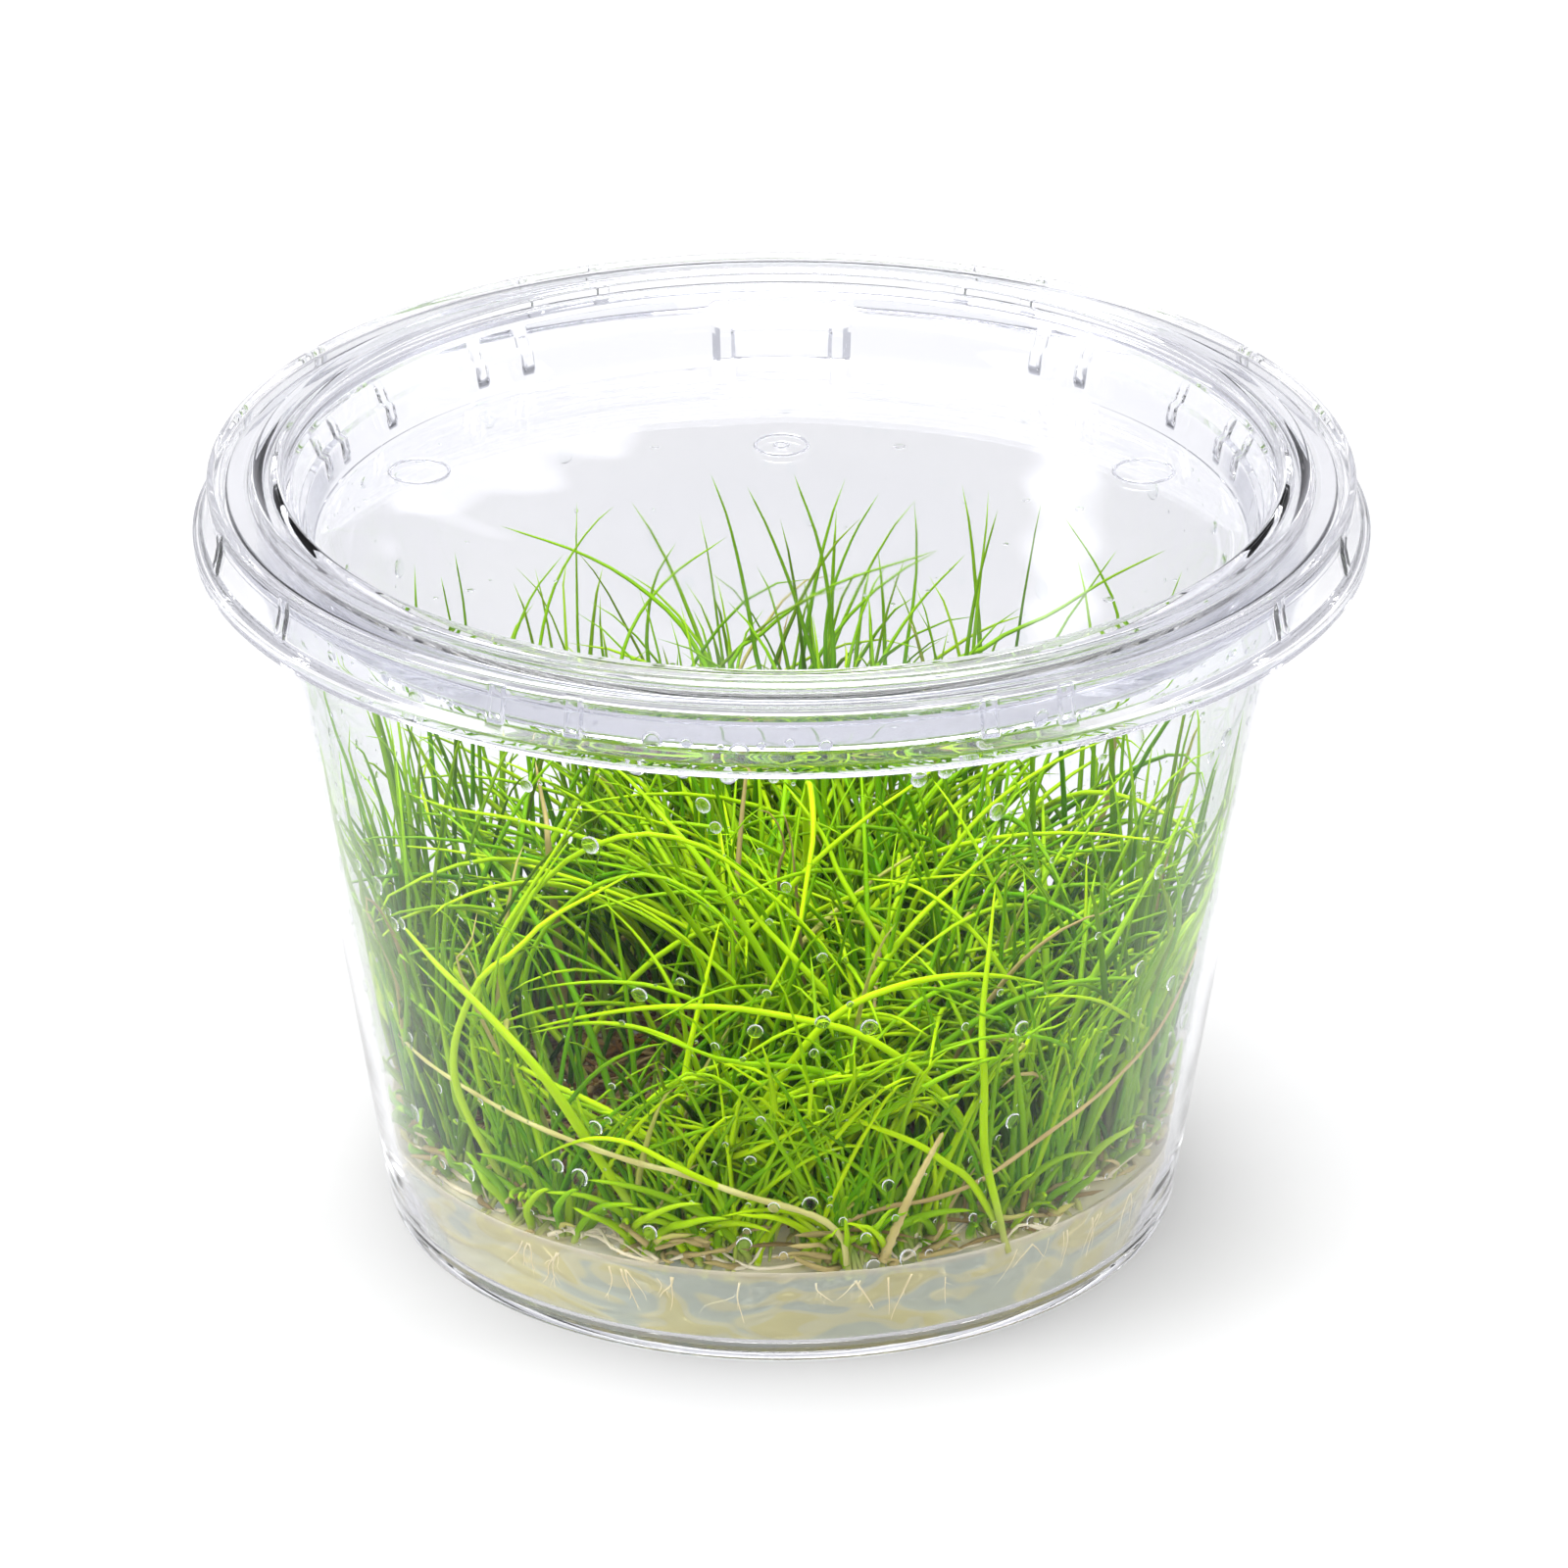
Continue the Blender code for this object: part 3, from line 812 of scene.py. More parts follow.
def addDrop(store, centre, normal, radius, plump, stretch=1.0, roll=0.0):
    # A lens with a flat back, standing on a wall whose normal is given
    normal = Vector(normal).normalized()
    side = normal.cross(Vector((0, 0, 1)) if abs(normal.z) < 0.9 else Vector((1, 0, 0))).normalized()
    up = side.cross(normal)
    side, up = side * math.cos(roll) + up * math.sin(roll), up * math.cos(roll) - side * math.sin(roll)
    segments = 9 if radius < 0.3 else 14
    rings = 3 if radius < 0.3 else 5
    centre = Vector(centre)
    verts = []
    for ring in range(rings):
        share = 1 - (ring / rings) ** 1.6
        reach, height = radius * share, plump * radius * (1 - share**3.5)
        for k in range(segments):
            turn = 2 * math.pi * k / segments
            across = side * reach * math.cos(turn)
            verts.append(centre + across + up * reach * stretch * math.sin(turn) + normal * height)
    verts.append(centre + normal * plump * radius)
    faces = [list(range(segments))]
    for ring in range(rings - 1):
        for k in range(segments):
            a, b = ring * segments + k, ring * segments + (k + 1) % segments
            faces.append([b, a, a + segments, b + segments])
    last = (rings - 1) * segments
    for k in range(segments):
        faces.append([last + (k + 1) % segments, last + k, len(verts) - 1])
    addToStore(store, [tuple(v) for v in verts], faces)


def dropRadius(rng, largest):
    return dew["smallest"] + (largest - dew["smallest"]) * rng.random() ** 4


def scatterDrops(count, rng, largest, pick):
    # pick(rng) gives a place as two numbers in mm; a drop keeps clear of those before it
    placed = []
    cells = {}
    for _ in range(count * 6):
        if len(placed) == count:
            break
        u, v = pick(rng)
        radius = dropRadius(rng, largest)
        key = (int(u // 2), int(v // 2))
        around = [(key[0] + i, key[1] + j) for i in (-1, 0, 1) for j in (-1, 0, 1)]
        near = [drop for cell in around for drop in cells.get(cell, [])]
        if any(math.hypot(u - a, v - b) < radius + r + 0.08 for a, b, r in near):
            continue
        cells.setdefault(key, []).append((u, v, radius))
        placed.append((u, v, radius))
    return placed


def makeDew():
    rng = random.Random(dew["seed"])
    water = clearMaterial("dew", dewLook)
    slope = math.atan(cup["wallSlope"])
    around = 2 * math.pi * dew["wallReach"]

    def onWall(rng):
        return rng.uniform(0, around), 9.5 + 50 * rng.random() ** 1.25

    def nearRim(rng):
        return rng.uniform(-0.17, 0.17) * around, rng.uniform(58.6, 63.0)

    def hangOnWall(store, drops, plump):
        for u, height, radius in drops:
            turn = u / dew["wallReach"]
            reach = innerRadius(height) - dew["gap"]
            outward = Vector((math.sin(turn), -math.cos(turn), 0))
            normal = -outward * math.cos(slope) + Vector((0, 0, math.sin(slope)))
            centre = outward * reach + Vector((0, 0, height))
            addDrop(store, centre, normal, radius, plump, rng.uniform(1.0, 1.35), rng.uniform(-0.3, 0.3))

    wall = newStore()
    hangOnWall(wall, scatterDrops(dew["wallDrops"], rng, dew["largest"], onWall), dew["plump"])
    hangOnWall(wall, scatterDrops(dew["rimDrops"], rng, 1.0, nearRim), dew["rimPlump"])
    letLightThrough(makePiece("dew_on_wall", wall, [water], sharp=dew["crease"]))

    def underPanel(rng):
        turn, reach = rng.uniform(0, 2 * math.pi), dew["wallReach"] * math.sqrt(rng.random())
        return reach * math.cos(turn), reach * math.sin(turn)

    panel = newStore()
    lowFace = lid["panelHeight"] - lid["thickness"] - dew["gap"]
    for x, y, radius in scatterDrops(dew["panelDrops"], rng, 0.6, underPanel):
        nearEdge = math.hypot(x, y) / dew["wallReach"]
        if rng.random() > nearEdge**1.5:
            continue
        addDrop(panel, (x, y, lowFace), (0, 0, -1), radius, dew["plump"])
    letLightThrough(makePiece("dew_under_lid", panel, [water], sharp=dew["crease"]))

    beads = newStore()
    least, most = dew["leafSmallest"], dew["leafLargest"]
    for place, upward in rng.sample(leafSpots, min(len(leafSpots), dew["leafDrops"])):
        radius = least + (most - least) * rng.random() ** 2
        addBubble(beads, place + upward * radius * 0.8, radius, 8, 5)
    letLightThrough(makePiece("dew_on_leaves", beads, [water]))
    print("dew", len(wall["faces"]), len(panel["faces"]), len(beads["faces"]))


# The jelly

jelly = {
    "top": 8.6,
    "meniscus": 0.9,
    "foot": 2.0,
    "gap": 0.06,
    "bumps": 0.25,
    "steps": 160,
    "seed": 5,
    "bubbles": 26,
}


def makeJelly():
    top, foot, gap = jelly["top"], jelly["foot"], jelly["gap"]
    edge = innerRadius(top + jelly["meniscus"]) - gap
    corners = [(r, top, 0) for r in (0, 5, 10, 15, 20, 25, 29)]
    corners += [
        (edge - 1.0, top + 0.1, 0.8), (edge, top + jelly["meniscus"], 0.1),
        (innerRadius(foot) - gap, foot, 0.9), (26, foot, 0), (13, foot, 0), (0, foot, 0),
    ]
    points = splitLong(roundCorners(corners), 1.6)

    def shape(radius, height, angle, index):
        if height > top - 0.3 and radius < edge - 0.6:
            turn = math.radians(angle)
            place = Vector((radius * math.sin(turn), -radius * math.cos(turn), 3)) / 5
            height += jelly["bumps"] * noise.noise(place) * min(1, (edge - radius) / 4)
        return radius, height

    store = turnProfile(points, turningAngles(jelly["steps"], []), shape)
    rng = random.Random(jelly["seed"])
    letLightThrough(makePiece("culture_jelly", store, [jellyMaterial()], ["gel"]))
    bubbles = newStore()
    for _ in range(jelly["bubbles"]):
        turn = rng.uniform(0, 2 * math.pi)
        height = rng.uniform(3.4, 7.8)
        radius = rng.uniform(0.25, 0.8)
        reach = innerRadius(height) - 0.3 - radius - rng.random() ** 2 * 5
        addBubble(bubbles, (reach * math.sin(turn), -reach * math.cos(turn), height), radius)
    skin = clearMaterial("bubbleSkin", lidLook)
    letLightThrough(makePiece("jelly_bubbles", bubbles, [skin]))


def addBubble(store, centre, radius, segments=16, rings=9):
    verts = [(centre[0], centre[1], centre[2] + radius)]
    for ring in range(1, rings):
        lift = math.pi * ring / rings
        for k in range(segments):
            turn = 2 * math.pi * k / segments
            verts.append((
                centre[0] + radius * math.sin(lift) * math.cos(turn),
                centre[1] + radius * math.sin(lift) * math.sin(turn),
                centre[2] + radius * math.cos(lift),
            ))
    verts.append((centre[0], centre[1], centre[2] - radius))
    faces = [[0, 1 + k, 1 + (k + 1) % segments] for k in range(segments)]
    for ring in range(rings - 2):
        for k in range(segments):
            a, b = 1 + ring * segments + k, 1 + ring * segments + (k + 1) % segments
            faces.append([a, a + segments, b + segments, b])
    last, end = 1 + (rings - 2) * segments, len(verts) - 1
    faces += [[last + (k + 1) % segments, last + k, end] for k in range(segments)]
    addToStore(store, verts, faces)


# The plants

grass = {
    "seed": 7,
    "ringRadii": (0.0, 10.5, 20.5, 29.6),
    "ringCounts": (1, 6, 10, 13),
    "rootsPerTuft": 7,      # twice as many on an outer tuft
    "wallRoots": 0.4,       # share of these that shows at the wall
    "litterPerTuft": 90,    # on an inner tuft
    "rhizomesPerTuft": 9,   # on the outer ring, as stubs are
    "spread": 6.4,
    "footMost": 33.9,       # farthest from the middle that a leaf is rooted
    "footHeight": 8.3,
    "sides": 5,
    "bends": 13,
    "seenBends": 26,
    "frontLow": 0.6,        # how much shorter the leaves along the front wall are
    "wallClear": 0.45,
    "rootClear": 0.1,
    "behindRunners": 3.2,
    "topClear": 57.5,
    "thinFrom": 11.0,       # at the back, between these distances from the middle, the stand is thin
    "thinTo": 29.0,
    "thinShare": 0.5,
}
# Kinds of leaf: how many on an inner and on an outer tuft, then the least and most of each measure.
# Height is in mm, lean and droop are shares of it, and freshness runs from deep green to lime. The low
# lawn leaves keep to the darkest greens, as painted shade for the depth of the stand
leafKinds = {
    "lawn": {"inner": 41, "outer": 24, "height": (12, 25), "lean": (0.1, 1.1), "droop": (0.0, 0.1),
             "thick": (0.25, 0.42), "fresh": (0.0, 0.28)},
    "tall": {"inner": 8, "outer": 5, "height": (27, 38), "lean": (0.1, 0.6), "droop": (0.0, 0.15),
             "thick": (0.24, 0.38), "fresh": (0.3, 0.7)},
    "arch": {"inner": 26, "outer": 14, "height": (17, 30), "lean": (0.8, 1.8), "droop": (0.0, 0.35),
             "thick": (0.3, 0.46), "fresh": (0.45, 1.0)},
    "wall": {"inner": 0, "outer": 44, "height": (12, 42), "lean": (0.05, 0.6), "droop": (0.0, 0.1),
             "thick": (0.22, 0.42), "fresh": (0.1, 0.6)},
    "stub": {"inner": 0, "outer": 24, "height": (2.5, 9), "lean": (0.2, 1.6), "droop": (0.0, 0.3),
             "thick": (0.34, 0.56), "fresh": (0.3, 0.75)},
}
# The hollow left of the middle, long along the view, that few leaves cross
hollow = {
    "centre": Vector((-13.5, -12, 23.0)),
    "halfLength": 26.0,
    "halfWidth": 8.5,
    "halfHeight": 9.0,
    "crossing": 0.16,
}


def tuftPlaces():
    places = []
    for ring, (radius, count) in enumerate(zip(grass["ringRadii"], grass["ringCounts"])):
        for k in range(count):
            angle = 2 * math.pi * (k + 0.5 * ring) / count
            places.append(Vector((radius * math.sin(angle), -radius * math.cos(angle), 0)))
    return places


def keepInside(path, behind=0.0, clear=None):
    # Presses a leaf that would leave the cup against its wall, and under the lid. Leaves that
    # stay behind the runners keep farther from the front wall
    clear = grass["wallClear"] if clear is None else clear
    for k in range(1, len(path)):
        x, y, z = path[k]
        z = min(z, grass["topClear"])
        reach = math.hypot(x, y)
        front = min(1, max(0, -1.6 * y / max(reach, 1e-6))) * min(1, max(0, (34 - z) / 8))
        most = innerRadius(z) - clear - behind * front
        if reach > most:
            x, y = x * most / reach, y * most / reach
        path[k] = (x, y, z)
    return path


def crossesHollow(path):
    for point in path[1:]:
        here = Vector(point) - hollow["centre"]
        deep = here.dot(lookAlong) / hollow["halfLength"]
        wide, high = here.x / hollow["halfWidth"], here.dot(lookUp) / hollow["halfHeight"]
        if deep * deep + wide * wide + high * high < 1:
            return True
    return False


def leafRadii(thick, count):
    # A slim foot, then a long taper to the tip
    places = [k / count for k in range(count + 1)]
    return [thick * (1 - 0.8 * t**2.4) * (0.75 + 0.25 * min(1, 4 * t)) for t in places]


def flatHeading(turn):
    return Vector((math.cos(turn), math.sin(turn), 0))


def addLeaf(store, path, thick, tone):
    path = evenSteps(path, grass["bends"])
    addTube(store, path, leafRadii(thick, grass["bends"]), grass["sides"], tone, 0.8)


def footPlace(place, rng):
    turn = rng.uniform(0, 2 * math.pi)
    start = place + flatHeading(turn) * grass["spread"] * math.sqrt(rng.random())
    start *= min(1, grass["footMost"] / max(start.length, 1e-6))
    start.z = grass["footHeight"]
    return start


def growLeaf(store, place, sweep, kind, rng):
    look = leafKinds[kind]
    start = footPlace(place, rng)
    heading = flatHeading(rng.uniform(0, 2 * math.pi))
    height = rng.uniform(*look["height"])
    front = min(1, max(0, -start.y / grass["footMost"]))
    if kind in ("wall", "stub"):
        outward = start.normalized()
        outward.z = 0
        start = outward * rng.uniform(grass["footMost"] - 2.2, grass["footMost"])
        start.z = grass["footHeight"]
        heading = (heading + outward * 0.9).normalized()
        if kind == "wall":
            height *= 1 - grass["frontLow"] * front**1.5
            sideways = outward.cross(Vector((0, 0, rng.choice((-1, 1)))))
            heading = (heading + sideways * 1.6 * front).normalized()
    else:
        heading = (heading + 0.9 * sweep).normalized()
        height *= 1.0 + 0.16 * max(0, start.y / grass["ringRadii"][-1]) - 0.25 * front**2
    thin = start.y > 0 and grass["thinFrom"] < abs(start.x) < grass["thinTo"]
    if thin and kind != "stub" and rng.random() < grass["thinShare"]:
        return
    lean = rng.uniform(*look["lean"]) * (1 + front * (kind == "wall"))
    droop = rng.uniform(*look["droop"])
    sway = Vector((-heading.y, heading.x, 0)) * rng.uniform(-0.25, 0.25) * height
    up = Vector((0, 0, height))
    knots = [
        start,
        start + up * (0.42 + 0.25 * droop) + heading * height * lean * 0.12 + sway * 0.1,
        start + up * (0.86 + 0.35 * droop) + heading * height * lean * 0.5 + sway * 0.5,
        start + up * (1.0 - droop) + heading * height * lean + sway,
    ]
    path = []
    for k in range(grass["bends"] + 1):
        t = k / grass["bends"]
        point = knots[0] * (1 - t) ** 3 + knots[1] * 3 * t * (1 - t) ** 2
        path.append(tuple(point + knots[2] * 3 * t * t * (1 - t) + knots[3] * t**3))
    path = keepInside(path, 0 if kind == "stub" else grass["behindRunners"])
    if crossesHollow(path) and rng.random() > hollow["crossing"]:
        return
    thick = rng.uniform(*look["thick"])
    fresh = min(1, max(0, rng.uniform(*look["fresh"]) + rng.gauss(0, 0.06) + 0.22 * front**2))
    dry = rng.uniform(0.3, 0.6) if rng.random() < 0.025 else 0.0
    if kind in ("wall", "stub"):
        dry = max(dry, rng.uniform(0.0, 0.1))
    addLeaf(store, path, thick, (fresh, dry))
    noteSpots(path, thick, rng)


leafSpots = []


def noteSpots(path, thick, rng):
    # Places on a leaf's upper side where dew may bead
    for _ in range(2):
        k = rng.randrange(3, len(path) - 1)
        place = Vector(path[k])
        if place.z > 20:
            leafSpots.append((place + Vector((0, 0, thick * 0.7)), Vector((0, -0.4, 0.9))))


def addLitter(store, place, rng, count):
    # Brown and straw-coloured scraps that lie on the jelly under the leaves
    for _ in range(count):
        start = footPlace(place, rng)
        start.z = rng.uniform(8.7, 11.5)
        turn, length = rng.uniform(0, 2 * math.pi), rng.uniform(2.5, 8)
        heading = Vector((math.cos(turn), math.sin(turn), rng.uniform(-0.02, 0.35))) * length
        bow = Vector((rng.uniform(-1, 1), rng.uniform(-1, 1), rng.uniform(0, 0.6)))
        path = [tuple(p) for p in smoothRoute([start, start + heading * 0.5 + bow, start + heading], 5)]
        outer = place.length > grass["ringRadii"][2] + 1
        dry = rng.choice((0.4, 0.5, 0.55, 0.8) if outer else (0.8, 0.9, 1.0))
        radii = [rng.uniform(0.18, 0.42) * (1 - 0.1 * k) for k in range(6)]
        addTube(store, keepInside(path), radii, 4, (0.5, dry))


def addRhizomes(store, place, rng, count):
    # Pale creeping stems along the edge of the jelly
    outward = math.atan2(place.x, -place.y)
    for _ in range(count):
        turn, reach = outward + rng.uniform(-0.25, 0.25), rng.uniform(30.5, grass["footMost"])
        span = rng.choice((-1, 1)) * rng.uniform(0.08, 0.34)
        route = []
        for k in range(4):
            angle, away = turn + span * k / 3, reach + rng.uniform(-1.4, 0.6)
            height = 8.7 + rng.uniform(0, 1.5) + (1.6 * rng.random() if k == 3 else 0)
            route.append(Vector((away * math.sin(angle), -away * math.cos(angle), height)))
        path = keepInside([tuple(p) for p in smoothRoute(route, 9)])
        radii = [rng.uniform(0.15, 0.3) * (1 - 0.06 * k) for k in range(10)]
        addTube(store, evenSteps(path, 9), radii, 5, (0.5, 0.5))


def againstWall(point):
    # The same bearing and height, where the jelly meets the cup's wall
    flat = Vector((point.x, point.y, 0)).normalized() * (innerRadius(point.z) - grass["rootClear"])
    return Vector((flat.x, flat.y, point.z))


def addRoots(store, place, rng, count, share):
    # Roots that fork as they go down through the jelly. This share of them creeps down the wall
    for _ in range(count):
        turn = rng.uniform(0, 2 * math.pi)
        start = footPlace(place, rng)
        creeps = rng.random() < share
        reach, bend = (rng.uniform(0.3, 2.5), 0.35) if creeps else (rng.uniform(1.5, 6), 1)
        end = start + flatHeading(turn) * reach
        end.z = rng.uniform(2.6, 6.5)
        bows = [Vector((rng.uniform(-bend, bend), rng.uniform(-bend, bend), 0)) for _ in range(3)]
        knots = [start, start.lerp(end, 0.35) + bows[0], start.lerp(end, 0.7) + bows[1], end + bows[2]]
        thick = rng.uniform(0.07, 0.15)
        route = smoothRoute(knots, 9)
        if creeps:
            route = [againstWall(point) for point in route]
        path = evenSteps(keepInside([tuple(p) for p in route], clear=grass["rootClear"]), 9)
        addTube(store, path, [thick * (1 - 0.07 * k) for k in range(10)], 4, (0.5, 0.5))
        for fork in rng.sample(range(2, 8), rng.choice((1, 2, 3))):
            spread = 2.5 * bend
            aside, ahead = rng.uniform(-spread, spread), rng.uniform(-spread, spread)
            tip = Vector(path[fork]) + Vector((aside, ahead, -rng.uniform(0.6, 2.2)))
            tip.z = max(tip.z, 2.5)
            branch = [Vector(path[fork]), againstWall(tip) if creeps else tip]
            branch = keepInside([tuple(p) for p in smoothRoute(branch, 3)], clear=grass["rootClear"])
            addTube(store, branch, [thick * 0.55 * (1 - 0.2 * k) for k in range(4)], 3, (0.5, 0.5))


# Leaves that stand out in the photograph: foot on the jelly, half thickness, freshness (how far
# from straw to brown on a dry one), then the pixels that each passes on its way to its tip, with
# the depth there
frontLeaves = [
    ((-10, -29), 0.42, 0.95, (
        (655, 1240, -29), (613, 1178, -29), (560, 1098, -30), (500, 1030, -28), (455, 985, -25),
        (413, 937, -20),
    )),
    ((-22, -22), 0.34, 1.0, (
        (470, 1100, -24), (488, 1005, -25), (530, 966, -25), (560, 936, -23), (613, 906, -19),
        (649, 886, -15),
    )),
    ((-2, -6), 0.30, 0.8, (
        (740, 1000, -8), (700, 930, -10), (650, 872, -12), (584, 848, -12), (517, 831, -9),
        (461, 822, -5), (410, 805, -1),
    )),
    ((-22, -20), 0.33, 0.85, (
        (488, 1075, -21), (497, 990, -20), (516, 946, -19), (543, 903, -18), (573, 856, -17),
        (596, 813, -16),
    )),
    ((-20, -19), 0.28, 0.8, (
        (498, 1060, -20), (508, 985, -19), (528, 940, -18), (556, 892, -17), (585, 850, -16),
    )),
    ((-19, -14), 0.30, 0.85, (
        (512, 990, -16), (560, 892, -16), (636, 850, -17), (712, 858, -19), (778, 903, -21),
        (838, 959, -22), (885, 1030, -22),
    )),
    ((5, -13), 0.38, 0.75, (
        (835, 1075, -15), (798, 1009, -15), (762, 946, -14), (735, 903, -13), (706, 863, -11),
        (679, 833, -8), (640, 790, -4), (602, 762, 0),
    )),
    ((3, 7), 0.30, 1.0, (
        (822, 840, 2), (826, 795, -3), (830, 846, -10), (822, 900, -14), (815, 946, -17),
        (795, 992, -19), (779, 1019, -20), (765, 1065, -21), (757, 1102, -21),
    )),
    ((14, -12), 0.36, 0.8, (
        (960, 1085, -13), (938, 1032, -14), (918, 999, -14), (898, 959, -13), (878, 926, -12),
        (855, 886, -10), (838, 846, -8), (798, 793, -4),
    )),
    ((-4, -7), 0.32, 0.9, (
        (745, 990, -9), (769, 946, -10), (812, 896, -10), (845, 863, -9), (895, 823, -6),
        (938, 793, -2), (965, 770, 3),
    )),
    ((4, -15), 0.34, 0.85, (
        (858, 1055, -17), (881, 1012, -18), (911, 966, -17), (944, 926, -15), (1000, 876, -10),
        (1042, 842, -5),
    )),
    ((-4, -25), 0.40, 0.95, (
        (752, 1178, -27), (779, 1125, -28), (805, 1085, -28), (838, 1045, -28), (878, 1017, -27),
        (944, 996, -25), (1010, 992, -21), (1080, 1004, -16),
    )),
    ((18, -24), 0.36, 0.9, (
        (985, 1150, -27), (944, 1098, -29), (895, 1062, -30), (855, 1045, -30), (762, 1027, -30),
        (712, 1024, -29), (662, 1025, -27), (600, 1034, -24), (536, 1048, -20),
    )),
    ((-8, -26), 0.34, 1.0, (
        (694, 1165, -27), (696, 1128, -27), (702, 1078, -26), (712, 1032, -25), (725, 979, -23),
        (735, 936, -21),
    )),
    ((-9, -27), 0.34, 0.95, (
        (712, 1175, -29), (779, 1128, -30), (845, 1098, -30), (900, 1080, -29), (940, 1076, -28),
    )),
    ((6, -31), 0.30, 1.0, (
        (800, 1228, -32.6), (773, 1221, -33), (731, 1206, -33.6), (689, 1186, -33.6),
        (647, 1164, -32.6), (610, 1158, -31), (576, 1167, -29), (545, 1184, -27),
    )),
    ((-4, -11), 0.30, 0.9, (
        (725, 1010, -13), (712, 969, -14), (692, 949, -14), (659, 926, -13), (629, 913, -12),
    )),
    ((-7, -18), 0.28, 0.85, (
        (700, 1050, -19), (686, 1006, -19), (669, 976, -18), (646, 946, -17), (616, 916, -16),
    )),
    ((-2, -17), 0.28, 0.75, (
        (722, 1040, -19), (679, 1007, -20), (629, 999, -20), (580, 1001, -19), (533, 1009, -18),
    )),
    ((-5, -22), 0.30, 0.85, (
        (712, 1085, -24), (679, 1055, -24), (633, 1042, -24), (589, 1042, -23), (540, 1052, -21),
    )),
    ((-15, -24), 0.30, 0.9, (
        (640, 1155, -26), (666, 1118, -27), (699, 1098, -27), (725, 1100, -27), (752, 1112, -26),
        (775, 1138, -25),
    )),
    ((19, -28), 0.34, 0.95, (
        (990, 1205, -30.5), (962, 1183, -31.5), (934, 1164, -32), (892, 1147, -32.3),
        (850, 1132, -32), (800, 1129, -31),
    )),
    ((19, -29), 0.36, 0.9, (
        (1004, 1186, -30.5), (1001, 1144, -30.5), (1002, 1102, -30), (1000, 1040, -28),
        (1008, 960, -25), (1014, 900, -22),
    )),
    ((-17, -10), 0.28, 0.7, (
        (540, 1030, -12), (548, 960, -12), (600, 905, -13), (668, 890, -14), (730, 925, -16),
        (768, 985, -18),
    )),
    ((9, -20), 0.36, 0.85, (
        (905, 1110, -22), (868, 1040, -23), (820, 985, -23), (770, 930, -21), (742, 880, -18),
        (735, 840, -14),
    )),
    ((22, -14), 0.30, 0.9, (
        (1050, 1060, -16), (1020, 985, -16), (975, 930, -15), (930, 900, -13), (880, 893, -10),
    )),
    ((26, -8), 0.28, 1.0, ((1098, 1040, -9), (1103, 985, -9), (1107, 930, -8), (1108, 872, -6))),
    ((20, -6), 0.30, 0.8, ((1030, 960, -8), (1005, 880, -7), (975, 825, -5), (950, 790, -2))),
    ((24, -16), 0.34, 0.75, (
        (1080, 1080, -17), (1110, 1000, -17), (1150, 930, -15), (1190, 860, -10), (1218, 800, -5),
    )),
    ((12, -4), 0.30, 0.85, (
        (925, 950, -5), (960, 880, -5), (1010, 820, -3), (1075, 775, 1), (1130, 752, 6),
    )),
]
backLeaves = [
    ((-6, 17), 0.30, 0.6, (
        (735, 760, 18), (705, 660, 22), (650, 605, 25), (590, 570, 27), (510, 543, 28),
    )),
    ((-21, 20), 0.24, 0.6, (
        (548, 740, 21), (552, 660, 23), (568, 600, 25), (600, 548, 27), (627, 523, 28),
    )),
    ((-4, 20), 0.30, 0.35, (
        (776, 740, 21), (770, 670, 23), (758, 600, 25), (744, 540, 26), (725, 490, 27),
    )),
    ((3, 20), 0.30, 0.3, ((838, 740, 21), (818, 640, 24), (790, 560, 26), (762, 503, 27))),
    ((5, 20), 0.32, 0.35, ((850, 740, 21), (850, 660, 23), (838, 570, 25), (810, 490, 27))),
    ((4, 24), 0.26, 0.5, ((842, 720, 25), (845, 630, 27), (868, 560, 28), (897, 510, 28))),
    ((-7, 22), 0.26, 0.6, ((740, 710, 23), (775, 655, 25), (850, 604, 26), (957, 568, 25))),
    ((-16, 20), 0.26, 0.6, ((630, 740, 21), (640, 660, 23), (680, 600, 26), (742, 554, 28))),
    ((8, 20), 0.28, 0.6, ((880, 740, 21), (900, 680, 23), (940, 620, 25), (985, 572, 26))),
    ((17, 20), 0.30, 0.3, ((985, 740, 21), (986, 680, 22), (998, 600, 24), (1018, 527, 25))),
    ((28, 20), 0.24, 0.6, ((1120, 740, 21), (1142, 650, 23), (1122, 590, 24), (1085, 533, 24))),
    ((14, 22), 0.28, 0.65, (
        (960, 720, 23), (1010, 665, 25), (1070, 635, 25), (1130, 598, 23), (1190, 568, 20),
    )),
    ((22, 22), 0.24, 0.6, ((1060, 720, 23), (1080, 655, 24), (1110, 610, 24), (1140, 568, 23))),
    ((30, 16), 0.22, 0.6, ((1150, 740, 17), (1170, 680, 18), (1190, 630, 18), (1207, 588, 17))),
    ((-28, 18), 0.24, 0.4, ((480, 740, 18), (478, 690, 18), (474, 630, 19), (464, 570, 19))),
    ((-27, 21), 0.22, 0.6, ((485, 740, 21), (462, 650, 20), (450, 595, 18))),
    ((-22, 15), 0.26, 0.55, ((540, 790, 16), (520, 690, 18), (540, 620, 20), (575, 572, 22))),
    ((-13, 22), 0.26, 0.35, ((665, 740, 23), (660, 660, 25), (668, 600, 27), (690, 560, 28))),
]
dryLeaves = [
    ((2, -4), 0.24, 0.75, (
        (795, 905, -8), (801, 870, -8), (797, 845, -8), (785, 826, -8), (770, 822, -8),
    )),
    ((3, -5), 0.20, 0.68, ((812, 900, -9), (808, 860, -9), (803, 838, -9), (798, 822, -9))),
    ((-19, 8), 0.40, 0.5, ((560, 870, 5), (557, 835, 7), (550, 800, 9), (545, 772, 10))),
    ((-16, -25), 0.22, 0.45, ((478, 1000, -23), (484, 960, -22), (490, 925, -20))),
]


